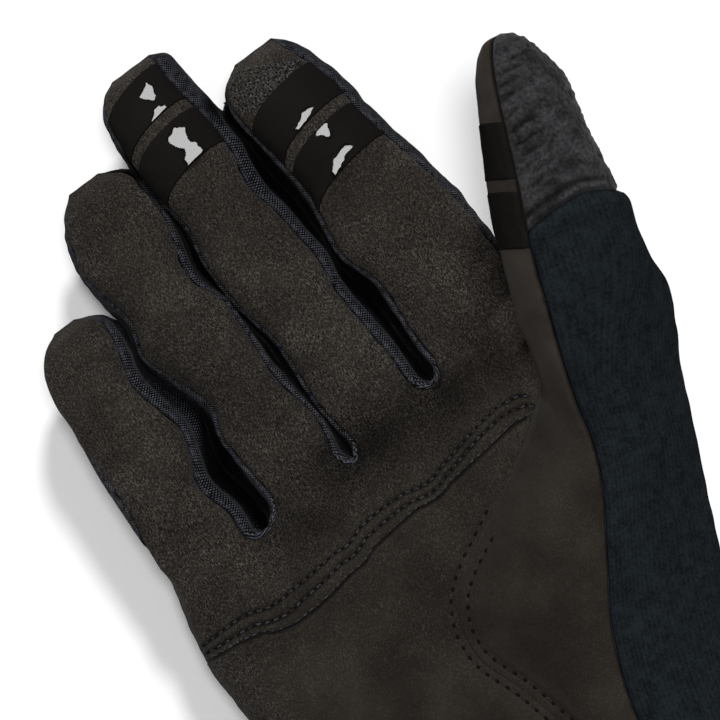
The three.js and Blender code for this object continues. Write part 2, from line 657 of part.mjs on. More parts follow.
function drawnBack(border) {
  const pulls = new Map();
  for (const [a, b] of border) {
    for (const id of [a, b]) {
      const way = points[b].clone().sub(points[a]);
      const inward = normals[id].clone().cross(way).normalize();
      pulls.set(id, [...(pulls.get(id) ?? []), inward]);
    }
  }
  const moves = new Map();
  for (const [id, [first, second]] of pulls) {
    const both = first.clone().add(second);
    const stretch = Math.min(2 / Math.max(both.lengthSq(), 0.01), MITRE_LIMIT);
    moves.set(id, both.multiplyScalar(stretch * (SEAM_GAP / 2)));
  }
  return moves;
}

function solidGeometry(outer, inner, polygons, border) {
  const order = [...outer.keys()];
  const place = new Map(order.map((id, i) => [id, i]));
  const position = [...order.map((id) => outer.get(id)), ...order.map((id) => inner.get(id))];
  const under = order.length;
  const index = [];
  for (const corners of polygons) {
    const ids = corners.map((id) => place.get(id));
    const cuts = ids.length === 3 ? [ids] : quadCuts(ids, position);
    for (const [a, b, c] of cuts) {
      index.push(a, b, c, under + a, under + c, under + b);
    }
  }
  for (const [from, to] of border) {
    const a = place.get(from);
    const b = place.get(to);
    index.push(a, under + a, under + b, a, under + b, b);
  }
  const geometry = new THREE.BufferGeometry();
  const flat = position.flatMap((p) => [p.x, p.y, p.z]);
  geometry.setAttribute('position', new THREE.Float32BufferAttribute(flat, 3));
  geometry.setIndex(index);
  return geometry;
}

// A quad is cut along its shorter diagonal.
function quadCuts([a, b, c, d], position) {
  const first = position[a].distanceTo(position[c]);
  const second = position[b].distanceTo(position[d]);
  return first <= second ? [[a, b, c], [a, c, d]] : [[a, b, d], [b, c, d]];
}

function wallGeometry(piece, wall) {
  const own = faces.filter((face) => face.piece === piece);
  const border = borderOf(own);
  const moves = drawnBack(border);
  const outer = new Map();
  const inner = new Map();
  for (const { corners } of own) {
    for (const id of corners) {
      const move = moves.get(id);
      const place = move ? points[id].clone().add(move) : points[id].clone();
      outer.set(id, place);
      inner.set(id, place.clone().addScaledVector(normals[id], -wall));
    }
  }
  return solidGeometry(outer, inner, own.map((face) => face.corners), border);
}

// Silicone bars lie on the faces of a grid of the skin. A place on the grid is a row and a column with
// fractions.
function onGrid(rows, row, column) {
  const i = Math.min(Math.floor(row), rows.length - 2);
  const j = Math.min(Math.floor(column), rows[0].length - 2);
  const mix = (list) => {
    const low = list[rows[i][j]].clone().lerp(list[rows[i][j + 1]], column - j);
    const high = list[rows[i + 1][j]].clone().lerp(list[rows[i + 1][j + 1]], column - j);
    return low.lerp(high, row - i);
  };
  return { place: mix(points), normal: mix(normals).normalize() };
}

// The row, with its fraction, where a column of the grid reaches a distance along a direction.
function rowReaching(rows, column, way, distance) {
  for (let i = 0; i + 1 < rows.length; i++) {
    const low = onGrid(rows, i, column).place.dot(way);
    const high = onGrid(rows, i + 1, column).place.dot(way);
    if (distance <= high) {
      return i + (distance - low) / (high - low);
    }
  }
  return rows.length - 1;
}

// start is how far along way the bar begins at the grid's first column, lean how much further it
// begins at the last column, and bow how far its middle arches along way.
function gripGeometry({ rows, way, length, lean, bow }, start) {
  const last = rows[0].length - 1;
  const outer = new Map();
  const inner = new Map();
  const polygons = [];
  const middleOf = (column) => onGrid(rows, rows.length / 2, column).place;
  const margin = (GRIP_EDGE / middleOf(0).distanceTo(middleOf(last))) * last;
  const id = (i, j) => i * (last + 1) + j;
  for (let i = 0; i <= GRIP_BANDS; i++) {
    for (let j = 0; j <= last; j++) {
      const column = THREE.MathUtils.clamp(j, margin, last - margin);
      const share = column / last;
      const arch = lean * share + 4 * bow * share * (1 - share);
      const distance = start + arch + (length * i) / GRIP_BANDS;
      const { place, normal } = onGrid(rows, rowReaching(rows, column, way, distance), column);
      inner.set(id(i, j), place.clone().addScaledVector(normal, GRIP_GAP));
      outer.set(id(i, j), place.clone().addScaledVector(normal, GRIP_GAP + GRIP_WALL));
      if (i < GRIP_BANDS && j < last) {
        polygons.push([id(i, j), id(i, j + 1), id(i + 1, j + 1), id(i + 1, j)]);
      }
    }
  }
  const border = borderOf(polygons.map((corners) => ({ corners })));
  return solidGeometry(outer, inner, polygons, border);
}

// Materials: dry-looking suede and knits, and glossy silicone

function cloth(color, roughness) {
  return new THREE.MeshStandardMaterial({ color, roughness, metalness: 0 });
}

const suede = cloth('#38322e', 0.95);
const stretch = cloth('#161a20', 0.85);
const satin = cloth('#14171f', 0.6);
const terry = cloth('#2b2b2f', 0.95);
const knit = cloth('#1b1d22', 0.9);
const silicone = cloth('#050505', 0.12);

const glove = new THREE.Group();

function addMesh(name, geometry, material) {
  const mesh = new THREE.Mesh(geometry, material);
  mesh.name = name;
  glove.add(mesh);
}

addMesh('palm_upper', wallGeometry('palm_upper', SUEDE_WALL), suede);
addMesh('palm_heel', wallGeometry('palm_heel', SUEDE_WALL), suede);
addMesh('thumb_front', wallGeometry('thumb_front', SUEDE_WALL), suede);
addMesh('thumb_back', wallGeometry('thumb_back', STRETCH_WALL), stretch);
addMesh('thumb_terry', wallGeometry('thumb_terry', TERRY_WALL), terry);
addMesh('back_panel', wallGeometry('back_panel', STRETCH_WALL), stretch);
addMesh('cuff', wallGeometry('cuff', CUFF_WALL), knit);
addMesh('index_side', wallGeometry('index_side', FOURCHETTE_WALL), satin);
for (const [piece] of pairs) {
  addMesh(piece, wallGeometry(piece, FOURCHETTE_WALL), satin);
}

// The two bars on each tip: rows is the grid that they lie on, way the direction in which they follow
// each other, and end how far along it the upper one ends.
const frontGrid = (finger) => finger.loops.map((loop) => loop.front);
const padGrid = thumbLoops.map((loop) => [...loop.inner, ...loop.front.slice(1)]);
const fingerWay = new THREE.Vector3(0, 1, 0);
const thumbWay = new THREE.Vector3(Math.sin(THUMB_GRIP_TURN), Math.cos(THUMB_GRIP_TURN), 0);
const GRIPS = [
  { name: 'middle', rows: frontGrid(MIDDLE), way: fingerWay, end: MIDDLE_LENGTH - MIDDLE_GRIP_DROP,
    length: FINGER_GRIP, lean: 4.5, bow: GRIP_BOW },
  { name: 'index', rows: frontGrid(INDEX), way: fingerWay, end: INDEX_LENGTH - INDEX_GRIP_DROP,
    length: FINGER_GRIP, lean: 5.2, bow: GRIP_BOW },
  { name: 'thumb', rows: padGrid, way: thumbWay, end: points[thumbTip].dot(thumbWay) - THUMB_GRIP_DROP,
    length: THUMB_GRIP, lean: 0, bow: 0 },
];
for (const grip of GRIPS) {
  const upper = grip.end - grip.length;
  const lower = upper - GRIP_SPACE - grip.length;
  addMesh(grip.name + '_grip_upper', gripGeometry(grip, upper), silicone);
  addMesh(grip.name + '_grip_lower', gripGeometry(grip, lower), silicone);
}

// The glove stands on its back, over the middle of its own outline.
const bounds = new THREE.Box3().setFromObject(glove);
const middle = bounds.getCenter(new THREE.Vector3());
glove.position.set(-middle.x, -middle.y, -bounds.min.z);
glove.updateMatrixWorld(true);

export default glove;
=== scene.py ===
# A full-finger cycling glove for the right hand, lying filled out on its back with the palm up: dark
# suede palm, satin strips between the fingers, a terry thumb, stretch cloth behind and a knit cuff.
# Shapes are worked out in millimetres in the glove's own frame: +X to the thumb's side, +Y to the
# fingertips, +Z up out of the palm. Each panel is a grid laid on the same skin as the frame's solids.
import math

import bpy
import numpy as np
from mathutils import Matrix, Vector, noise
from mathutils.bvhtree import BVHTree
from mathutils.kdtree import KDTree


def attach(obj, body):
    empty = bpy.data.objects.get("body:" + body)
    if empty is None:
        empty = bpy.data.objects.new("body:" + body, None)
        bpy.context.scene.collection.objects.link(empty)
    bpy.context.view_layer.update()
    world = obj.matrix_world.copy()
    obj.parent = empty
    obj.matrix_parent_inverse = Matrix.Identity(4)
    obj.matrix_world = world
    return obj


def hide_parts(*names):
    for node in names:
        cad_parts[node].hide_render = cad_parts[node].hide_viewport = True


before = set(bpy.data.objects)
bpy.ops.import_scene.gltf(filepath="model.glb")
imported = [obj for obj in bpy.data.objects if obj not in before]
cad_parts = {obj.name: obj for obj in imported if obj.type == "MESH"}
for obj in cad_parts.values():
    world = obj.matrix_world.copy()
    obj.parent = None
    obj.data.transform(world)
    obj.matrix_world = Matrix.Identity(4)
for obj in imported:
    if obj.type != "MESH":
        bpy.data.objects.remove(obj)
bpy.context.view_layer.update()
bpy.ops.object.select_all(action="DESELECT")
bpy.context.view_layer.objects.active = None

# Fourchettes: three strips of blue-black woven satin, each sewn up one finger's side, round the slot
# and up the next finger's side. They swell out beside the suede and meet in a black valley.

MM = 0.001
# From the middle finger's root, where these millimetres start, to the frame's origin
SHIFT = np.array([-4.5516, 25.4685, 0.001])
FINGER = ("along", "seamL", "seamR", "edgeL", "edgeR", "depth")
FINGER_DEPTH, FINGER_BASE, FINGER_RISE = 18, 11.5, 4.5
SPACES = (3.2, 3.8, 4.9)
# A finger's sections are superellipses of this power, with the suede's seams at these shares of their
# depth, at the root and further up
FINGER_ROUND, SEAM_AT_ROOT, SEAM_ABOVE = 2.4, 0.86, 0.42
ROW_STEP, FRONT, SIDE, SLOT = 0.6, 32, 24, 16
SLOT_SAG, VALLEY_GAP = 4.2, -0.3
# How full the shoulder is at a finger's right and at its left
SHOULDER = {1: 1.0, -1: 0.6}
# Across a side, from the suede to the back: where the shoulder ends, where the drop starts and its width
SHOULDER_END, DROP, DROP_WIDTH = 0.2, 0.34, 0.16
BACK_TUCK = 1.2
SATIN_WALL = 0.8
# How far apart the satin's threads lie, each way, and the overcast stitches along its seams
WEAVE, OVERCAST = (0.42, 0.50), 0.55


def table(columns, *rows):
    """The rows' numbers as one array for each column."""
    return {name: np.array([row[i] for row in rows], float) for i, name in enumerate(columns)}


# Each row is one section of a finger, at a share of its length: where the suede's seams and the
# strips' outer edges lie, in half widths of the finger, and its share of the finger's depth.
PINKY_ROWS = table(
    FINGER,
    (0, -1.20, 0.79, -1.20, 1.02, 1), (0.10, -1.14, 0.81, -1.14, 1.06, 0.97),
    (0.23, -1.10, 0.58, -1.10, 0.90, 0.95), (0.35, -1.05, 0.89, -1.05, 1.10, 0.93),
    (0.46, -1.01, 1.04, -1.01, 1.24, 0.91), (0.58, -0.92, 0.85, -0.92, 1.12, 0.89),
    (0.68, -0.84, 0.76, -0.84, 1.06, 0.86), (0.79, -0.81, 0.94, -0.81, 1.18, 0.82),
    (0.88, -0.66, 1.06, -0.66, 1.28, 0.72), (0.95, -0.40, 1.00, -0.40, 1.16, 0.50),
    (1, 0.08, 0.62, 0.08, 0.62, 0))
RING_ROWS = table(
    FINGER,
    (0, -0.54, 0.92, -0.82, 1.10, 1), (0.12, -0.60, 1.15, -0.86, 1.26, 0.97),
    (0.24, -0.63, 1.00, -0.84, 1.20, 0.95), (0.32, -0.42, 0.97, -0.72, 1.12, 0.93),
    (0.45, -0.75, 1.04, -0.98, 1.16, 0.91), (0.53, -0.95, 1.04, -1.12, 1.16, 0.89),
    (0.62, -0.72, 0.78, -1.00, 1.02, 0.87), (0.70, -0.80, 0.86, -1.02, 1.12, 0.85),
    (0.80, -0.92, 1.10, -1.02, 1.30, 0.80), (0.90, -0.74, 1.10, -0.84, 1.28, 0.68),
    (0.96, -0.46, 0.98, -0.52, 1.08, 0.46), (1, -0.20, 0.55, -0.20, 0.55, 0))
MIDDLE_ROWS = table(
    FINGER,
    (0, -0.83, 0.84, -1.04, 1.06, 1), (0.12, -1.00, 0.87, -1.14, 1.12, 0.98),
    (0.21, -0.95, 0.82, -1.12, 1.08, 0.96), (0.31, -0.89, 0.77, -1.08, 1.02, 0.95),
    (0.40, -1.09, 0.88, -1.20, 1.12, 0.93), (0.48, -1.15, 0.81, -1.26, 1.08, 0.92),
    (0.55, -1.13, 0.74, -1.26, 1.02, 0.90), (0.62, -0.96, 0.59, -1.18, 0.94, 0.88),
    (0.71, -1.06, 0.77, -1.22, 1.06, 0.86), (0.80, -1.11, 0.75, -1.24, 1.12, 0.82),
    (0.88, -1.06, 0.64, -1.16, 1.04, 0.74), (0.94, -0.94, 0.60, -1.02, 1.00, 0.58),
    (0.98, -0.70, 0.62, -0.74, 0.92, 0.34), (1, -0.42, 0.60, -0.42, 0.60, 0))
INDEX_ROWS = table(
    FINGER,
    (0, -0.85, 1.20, -1.04, 1.34, 1), (0.12, -0.94, 1.25, -1.10, 1.40, 0.98),
    (0.22, -0.88, 1.27, -1.06, 1.43, 0.96), (0.33, -0.87, 1.26, -1.06, 1.40, 0.95),
    (0.42, -1.10, 1.18, -1.22, 1.36, 0.93), (0.51, -1.04, 1.05, -1.20, 1.25, 0.91),
    (0.61, -0.92, 0.89, -1.12, 1.13, 0.89), (0.71, -0.97, 0.75, -1.16, 0.99, 0.86),
    (0.81, -1.07, 0.69, -1.22, 0.92, 0.80), (0.90, -1.13, 0.50, -1.22, 0.74, 0.68),
    (0.96, -0.96, 0.34, -1.00, 0.54, 0.46), (1, -0.60, 0.26, -0.60, 0.26, 0))

# valley is the share of the space at the right that this finger's strip fills, closed how far up the
# two strips still meet, and black how far out from where they meet shade is painted on the cloth, low
# down and high up.
FINGERS = [
    dict(name="pinky", width=19, length=57, rows=PINKY_ROWS, start=(0, 0), valley=0.6, closed=53.5,
         black=(6.0, 2.2)),
    dict(name="ring", width=20, length=78.5, rows=RING_ROWS, start=(2.5, 2), valley=0.5, closed=76,
         black=(6.5, 5.6)),
    dict(name="middle", width=19, length=92, rows=MIDDLE_ROWS, start=(2, 5), valley=0.62, closed=75,
         black=(5.0, 5.0)),
    dict(name="index", width=22, length=79.5, rows=INDEX_ROWS, start=(5, 6))]
PINKY, RING, MIDDLE, INDEX = FINGERS
MIDDLE["x"] = 0
RING["x"] = -(RING["width"] / 2 + SPACES[1] + MIDDLE["width"] / 2)
PINKY["x"] = RING["x"] - (PINKY["width"] / 2 + SPACES[0] + RING["width"] / 2)
INDEX["x"] = MIDDLE["width"] / 2 + SPACES[2] + INDEX["width"] / 2


def lerp(a, b, t):
    return a + (b - a) * t


def smooth(t):
    s = np.clip(t, 0, 1)
    return s * s * (3 - 2 * s)


def bell(x, wide, at=0):
    """A bell curve of height 1 round at."""
    return np.exp(-((x - at) / wide) ** 2)


def stack(x, y, z):
    return np.stack(np.broadcast_arrays(x, y, z), axis=-1).astype(float)


def row_at(rows, key, at):
    """Every column of a table at places between its rows, joined by smooth curves."""
    keys = rows[key]
    at = np.asarray(at, float)
    i = np.clip(np.searchsorted(keys, at, side="right") - 1, 0, len(keys) - 2)
    first, last = np.maximum(i - 1, 0), np.minimum(i + 2, len(keys) - 1)
    span = keys[i + 1] - keys[i]
    t = np.clip((at - keys[i]) / span, 0, 1)
    before = np.maximum(keys[i + 1] - keys[first], span)
    after = np.maximum(keys[last] - keys[i], span)
    result = {}
    for name, v in rows.items():
        m1 = (v[i + 1] - v[first]) / before * span
        m2 = (v[last] - v[i]) / after * span
        a = 2 * v[i] - 2 * v[i + 1] + m1 + m2
        b = 3 * (v[i + 1] - v[i]) - 2 * m1 - m2
        result[name] = ((a * t + b) * t + m1) * t + v[i]
    return result


def side_at(finger, column, y):
    row = row_at(finger["rows"], "along", np.clip(y, 0, None) / finger["length"])
    return finger["x"] + row[column] * finger["width"] / 2


def finger_side(finger, hand, top, bottom, y):
    """The strip from the suede's edge, top, round to the back's edge, bottom. hand is 1 at the right
    and -1 at the left. Beside another finger it rolls over a narrow shoulder, drops, and meets the
    other finger's strip deep in the valley that the two share."""
    letter = "R" if hand > 0 else "L"
    seam = side_at(finger, "seam" + letter, y)
    reach = hand * (side_at(finger, "edge" + letter, y) - seam)
    shoulder, closed = reach, np.zeros(len(y))
    other = FINGERS.index(finger) + hand
    if 0 <= other < len(FINGERS):
        left, right = (finger, FINGERS[other]) if hand > 0 else (FINGERS[other], finger)
        valley = lerp(side_at(left, "seamR", y), side_at(right, "seamL", y), left["valley"])
        met = hand * (valley - seam) - VALLEY_GAP / 2
        closed = smooth((left["closed"] - y) / 3)
        shoulder = np.minimum(reach * SHOULDER[hand], met * 0.75)
        reach = lerp(reach, met, closed)
    v, closed = np.linspace(0, 1, SIDE + 1)[None, :], closed[:, None]
    down = np.minimum((1 - np.cos(np.pi * v)) / 2 + 0.3 * closed * np.sin(np.pi * v) ** 2, 1)
    a, b = top[:, None, :], bottom[:, None, :]
    middle = (a[..., 0] + b[..., 0]) / 2
    size = hand * ((seam + hand * reach)[:, None] - middle)
    x = lerp(a[..., 0], b[..., 0], v) + hand * size * np.sin(np.pi * v)
    over = shoulder[:, None] * np.sin(np.pi / 2 * np.clip(v / SHOULDER_END, 0, 1))
    dropped = a[..., 0] + hand * lerp(over, reach[:, None], smooth((v - DROP) / DROP_WIDTH))
    x = lerp(x, dropped, closed * (v < 0.5))
    return stack(x, lerp(a[..., 1], b[..., 1], down), lerp(a[..., 2], b[..., 2], down))


def eased(count):
    """Shares from 0 to 1 in count steps that are closest together at both ends."""
    return (1 - np.cos(np.pi * np.arange(count + 1) / count)) / 2


def finger_grids(finger):
    """Front, back and sides of a finger, each in rows from its root to its tip, closer near the tip."""
    along = 1 - (1 - np.linspace(0, 1, int(finger["length"] / ROW_STEP))) ** 1.35
    row = row_at(finger["rows"], "along", along)
    half = np.maximum(row["depth"], 0) * FINGER_DEPTH / 2
    axis = FINGER_BASE + FINGER_RISE * along ** 1.5
    share = eased(FRONT)[None, :]
    start = lerp(finger["start"][0], finger["start"][1], share)
    y = start + along[:, None] * (finger["length"] - start)
    seam_l, seam_r = side_at(finger, "seamL", y[:, 0]), side_at(finger, "seamR", y[:, -1])
    x = lerp(seam_l[:, None], seam_r[:, None], share)
    dome = (1 - np.abs(2 * share - 1) ** FINGER_ROUND) ** (1 / FINGER_ROUND)
    seam_z = half * lerp(SEAM_AT_ROOT, SEAM_ABOVE, smooth(along / 0.3))
    front = stack(x, y, axis[:, None] + lerp(seam_z[:, None], half[:, None], dome))
    back_l = seam_l if finger is PINKY else seam_l - BACK_TUCK
    behind = lerp(back_l[:, None], (seam_r + BACK_TUCK)[:, None], share)
    behind = lerp(x, behind, smooth((1 - along) / 0.05)[:, None])
    back = stack(behind, y, axis[:, None] - lerp(half[:, None] * SEAM_ABOVE, half[:, None], dome))
    if finger is PINKY:
        front[:, 0, 2] = back[:, 0, 2] = axis
    else:
        finger["left"] = finger_side(finger, -1, front[:, 0], back[:, 0], y[:, 0])
    finger["front"], finger["back"] = front, back
    finger["right"] = finger_side(finger, 1, front[:, -1], back[:, -1], y[:, -1])
    return [(front[-1, k] + SHIFT) * MM for k in (0, FRONT // 2, FRONT)]


def slot_grid(left, right):
    """The columns round the end of a slot, from the left finger's first column to the right one's."""
    angle = (np.pi * np.arange(1, SLOT) / SLOT)[:, None]
    v = np.linspace(0, 1, SIDE + 1)
    over = np.sin(np.pi / 2 * np.clip(v / SHOULDER_END, 0, 1))
    narrow = 1 - 0.25 * over - 0.35 * smooth((v - DROP) / DROP_WIDTH)
    narrow = np.where(v < 0.5, narrow, 1 - 0.6 * np.sin(np.pi * v))
    made = lerp(left[None], right[None], ((1 - np.cos(angle)) / 2)[..., None])
    made[..., 1] -= SLOT_SAG * np.sin(angle) * narrow
    return made


# The fingers' tips, where the cloths meet in a point and neither wall nor relief has room
tips = [tip for one in FINGERS for tip in finger_grids(one)]
slots = [slot_grid(a["right"][0], b["left"][0]) for a, b in zip(FINGERS, FINGERS[1:])]


def running(steps):
    return np.concatenate([[0], np.cumsum(steps)])


def places_at(at, run, line):
    """The places on a line (points, 2 or 3), whose points lie at run, that lie at at."""
    return np.stack([np.interp(at, run, column) for column in line.T], axis=1)


def values_of(collection, key, width=3):
    """One property of all vertices, edges or loops, as an array."""
    whole = key in ("vertices", "edge_index", "vertex_index")
    read = np.zeros(len(collection) * width, int if whole else float)
    collection.foreach_get(key, read)
    return read.reshape(-1, width) if width > 1 else read


def co_of(obj):
    return values_of(obj.data.vertices, "co")


def y_of(co):
    """How far places in metres lie towards the fingertips, in millimetres."""
    return co[:, 1] / MM - SHIFT[1]


def grid(name, places):
    """A grid primitive with its vertices on the places (rows, columns, 3), and a UV map in metres
    along its own rows and columns."""
    rows, columns = places.shape[:2]
    bpy.ops.mesh.primitive_grid_add(x_subdivisions=columns - 1, y_subdivisions=rows - 1, size=1)
    obj = bpy.context.object
    obj.name = obj.data.name = name
    mesh = obj.data
    mesh.vertices.foreach_set("co", ((places + SHIFT) * MM).reshape(-1))
    across = np.linalg.norm(np.diff(places, axis=1), axis=2).mean(0)
    down = np.linalg.norm(np.diff(places[:, columns // 2], axis=0), axis=1)
    u, v = running(across) * MM, running(down) * MM
    corner = values_of(mesh.loops, "vertex_index", 1)
    uv = np.stack([u[corner % columns], v[corner // columns]], axis=1)
    layer = mesh.uv_layers[0] if mesh.uv_layers else mesh.uv_layers.new(name="UVMap")
    layer.data.foreach_set("uv", uv.reshape(-1))
    return obj


def select(objects):
    bpy.ops.object.select_all(action="DESELECT")
    for obj in objects:
        obj.select_set(True)
    bpy.context.view_layer.objects.active = objects[0]


def joined(name, objects):
    """The objects as one, with vertices at the same place merged."""
    select(objects)
    if len(objects) > 1:
        bpy.ops.object.join()
    obj = bpy.context.object
    obj.name = obj.data.name = name
    bpy.ops.object.mode_set(mode="EDIT")
    bpy.ops.mesh.select_all(action="SELECT")
    bpy.ops.mesh.remove_doubles(threshold=2e-6)
    bpy.ops.object.mode_set(mode="OBJECT")
    return obj


def apply(obj, kind, **values):
    modifier = obj.modifiers.new(kind, kind)
    for key, value in values.items():
        setattr(modifier, key, value)
    bpy.context.view_layer.objects.active = obj
    bpy.ops.object.modifier_apply(modifier=modifier.name)


def border_distance(obj):
    """Each vertex's distance in millimetres to the nearest open edge of the panel."""
    mesh = obj.data
    faces_at = np.bincount(values_of(mesh.loops, "edge_index", 1), minlength=len(mesh.edges))
    ids = np.unique(values_of(mesh.edges, "vertices", 2)[faces_at == 1])
    co = co_of(obj)
    tree = KDTree(len(ids))
    for k, i in enumerate(ids):
        tree.insert(co[i], k)
    tree.balance()
    return np.array([tree.find(c)[2] for c in co]) / MM


def waves_at(co, pitch, seed=0.0):
    """Smooth seeded noise, about -0.5 to 0.5, at places in metres. pitch is its grain in millimetres."""
    return np.array([noise.noise(Vector(c) / (pitch * MM) + Vector((seed, 0, 0))) for c in co])


def distance_to(line, co):
    """How far places lie from the nearest point of a line, in millimetres."""
    return np.min(np.linalg.norm(co[:, None] - np.array(line)[None], axis=2), axis=1) / MM


def keep_value(obj, name, values):
    """Stores a value for each vertex, for the shaders."""
    layer = obj.data.attributes.get(name) or obj.data.attributes.new(name, "FLOAT", "POINT")
    layer.data.foreach_set("value", values)


def weigh(obj, name, weights):
    """A vertex group with each vertex's weight to the nearest tenth."""
    group, steps = obj.vertex_groups.new(name=name), np.round(weights, 1)
    for level in np.unique(steps[steps > 0]):
        group.add(np.nonzero(steps == level)[0].tolist(), float(level), "REPLACE")


def relax(obj, times, weight=lambda y: 1.0):
    """Evens out the inside of a panel, by a weight that follows y, and leaves its edges as they are."""
    weigh(obj, "inner", (border_distance(obj) > 0.05) * weight(y_of(co_of(obj))))
    apply(obj, "SMOOTH", factor=0.5, iterations=times, vertex_group="inner")
    obj.vertex_groups.clear()


def sculpt(obj, height):
    """Moves each vertex along its normal by height(co, away), in millimetres, where co are the places
    in metres and away the distances to the panel's edge. At the fingers' tips nothing moves."""
    away, co = border_distance(obj), co_of(obj)
    move = height(co, away) * (1 - bell(distance_to(tips, co), 3))
    place = co + values_of(obj.data.vertices, "normal") * (move * MM)[:, None]
    obj.data.vertices.foreach_set("co", place.reshape(-1))
    obj.data.update()
    keep_value(obj, "edge", away)


def finished(obj, node, material, wall):
    """Gives a panel its wall, thinner at the fingers' tips, its shading and its finish, and lets it
    stand for its CAD node."""
    if wall:
        weigh(obj, "full", np.clip(distance_to(tips, co_of(obj)) / 4, 0, 1))
        apply(obj, "SOLIDIFY", thickness=wall * MM, offset=-1, vertex_group="full",
              thickness_vertex_group=0.05)
        obj.vertex_groups.clear()
    select([obj])
    bpy.ops.object.shade_smooth()
    obj.data.materials.clear()
    obj.data.materials.append(material)
    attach(obj, "root")
    if node:
        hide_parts(node)
    return obj


def colour(code):
    """A hex sRGB colour as linear RGBA."""
    parts = [int(code[i:i + 2], 16) / 255 for i in (1, 3, 5)]
    return [c / 12.92 if c <= 0.04045 else ((c + 0.055) / 1.055) ** 2.4 for c in parts] + [1]


def feed(node, inputs):
    """Gives a shader node's inputs their values, or the sockets that feed them."""
    for key, value in inputs.items():
        if isinstance(value, bpy.types.NodeSocket):
            node.id_data.links.new(value, node.inputs[key])
        else:
            node.inputs[key].default_value = value


# What the words after a node's kind set
MODES = {"Math": ["operation"], "Mix": ["data_type", "blend_type"], "Attribute": ["attribute_name"]}


def new_material(name, roughness, specular, sheen=0.0, base="#ffffff"):
    """A material with its plain values set, the function that adds its nodes, and its shader."""
    material = bpy.data.materials.new(name)
    material.use_nodes = True
    tree = material.node_tree
    shader = tree.nodes["Principled BSDF"]
    feed(shader, {"Base Color": colour(base), "Roughness": roughness, "Specular IOR Level": specular,
                  "Sheen Weight": sheen, "Sheen Roughness": 0.5})

    def add(kind, inputs=(), out=None, stops=()):
        """One shader node. The words after its kind are its modes, its inputs are values or the sockets
        that feed them, and stops are the colours of a ramp. Gives back the output named, or the first
        that is in use."""
        kind, *modes = kind.split()
        made = tree.nodes.new("ShaderNode" + kind)
        for key, value in zip(MODES.get(kind, ()), modes):
            setattr(made, key, value)
        feed(made, inputs if isinstance(inputs, dict) else dict(enumerate(inputs)))
        for i, (place, code) in enumerate(stops):
            if i > 1:
                made.color_ramp.elements.new(place)
            made.color_ramp.elements[i].position = place
            made.color_ramp.elements[i].color = colour(code)
        return made.outputs[out] if out else next(o for o in made.outputs if o.enabled)

    return material, add, shader


def woven_satin(name, ground, thread, glint):
    """Filament satin, plain woven and cut on the bias: each thread's crown is a small pale dot on black.
    Slanting overcast stitches lie along its seams, and deep in the valleys shade is painted near black."""
    material, add, shader = new_material(name, 0.6, 0.07, 0.03)
    uv = add("TexCoord", out="UV")
    bias = add("Mapping", {"Vector": uv, "Rotation": (0, 0, math.radians(37))})
    threads = add("SeparateXYZ", [bias]).node
    crowns = []
    for axis, pitch in zip("XY", WEAVE):
        wave = add("Math SINE", [add("Math MULTIPLY", [threads.outputs[axis], math.tau / (pitch * MM)])])
        crowns.append(add("Math MULTIPLY_ADD", [wave, 0.5, 0.5]))
    dots = add("Math MULTIPLY", crowns)
    place = add("TexCoord", out="Object")
    loose = add("TexNoise", {"Vector": place, "Scale": 1000 / 1.1, "Detail": 3.0})
    uneven = add("Math MULTIPLY", [dots, loose])
    base = add("ValToRGB", [uneven], stops=((0.12, ground), (0.5, thread)))
    edge = add("Attribute edge", out="Fac")
    near = add("MapRange", {"Value": edge, "From Min": 1.4, "From Max": 0.7})
    on_cloth = add("SeparateXYZ", [uv]).node
    slant = add("Math ADD", [on_cloth.outputs["X"], on_cloth.outputs["Y"]])
    bars = add("Math SINE", [add("Math MULTIPLY", [slant, math.tau / (OVERCAST * MM)])])
    hatch = add("MapRange", {"Value": bars, "From Min": -0.4, "From Max": 0.9})
    torn = add("MapRange", {"Value": loose, "From Min": 0.35, "From Max": 0.6})
    sewn = add("Math MULTIPLY", [add("Math MULTIPLY", [near, hatch]), torn])
    both = add("Mix RGBA", {0: sewn, 6: base, 7: colour(glint)})
    # Painted shade: deep in the valleys the woven colour is mixed to near black.
    valley_shaded = add("Mix RGBA", {0: add("Attribute deep", out="Fac"), 6: both, 7: colour("#020203")})
    high = add("Math ADD", [uneven, sewn])
    relief = add("Bump", {"Height": high, "Strength": 0.6, "Distance": 0.00012})
    feed(shader, {"Base Color": valley_shaded, "Normal": relief})
    return material


def strip_relief(co, away):
    """The strip's edge is drawn into the seam, rolls up beside it and is gathered by the thread."""
    roll = 0.3 * bell(away, 0.45, 0.75) - 0.15 * bell(away, 0.35)
    crotch = bell(y_of(co), 4, -1)
    gather = waves_at(co, 1.9) * (0.4 + 0.7 * crotch) * np.exp(-away / 2.2) * smooth(away / 0.5)
    slack = waves_at(co, 6.5, 7.0) * 0.35 * smooth(away / 2)
    return roll + gather + slack


satin = woven_satin("woven satin", "#060708", "#505158", "#3e3f44")
for left, right, slot in zip(FINGERS, FINGERS[1:], slots):
    strip_name = f"fourchette_{left['name']}_{right['name']}"
    strip = joined(strip_name + "_cloth", [grid("strip", np.concatenate([
        left["right"][::-1], slot, right["left"]])[::-1])])
    sculpt(strip, strip_relief)
    places = co_of(strip)
    closed_rows = left["right"][:, 0, 1] < left["closed"]
    valley = np.concatenate([left["right"][closed_rows, SIDE // 2], slot[:, SIDE // 2]])
    # Painted shade: within black of where the two strips meet, the satin is painted near black.
    black = lerp(left["black"][0], left["black"][1], smooth((y_of(places) - 12) / 18))
    keep_value(strip, "deep", smooth((black - distance_to((valley + SHIFT) * MM, places)) / 2.5))
    finished(strip, strip_name, satin, SATIN_WALL)

# Thumb, terry: a towelling sleeve over the thumb's back and tip, knitted in soft loops and seamed to
# the suede. Its lower edge is turned up in a rolled hem with one row of sewing above it.

THUMB_LENGTH, THUMB_WIDTH, THUMB_DEPTH, THUMB_RISE = 52, 24, 25, 8
THUMB_TURN, THUMB_LIFT = math.radians(20), 1.5
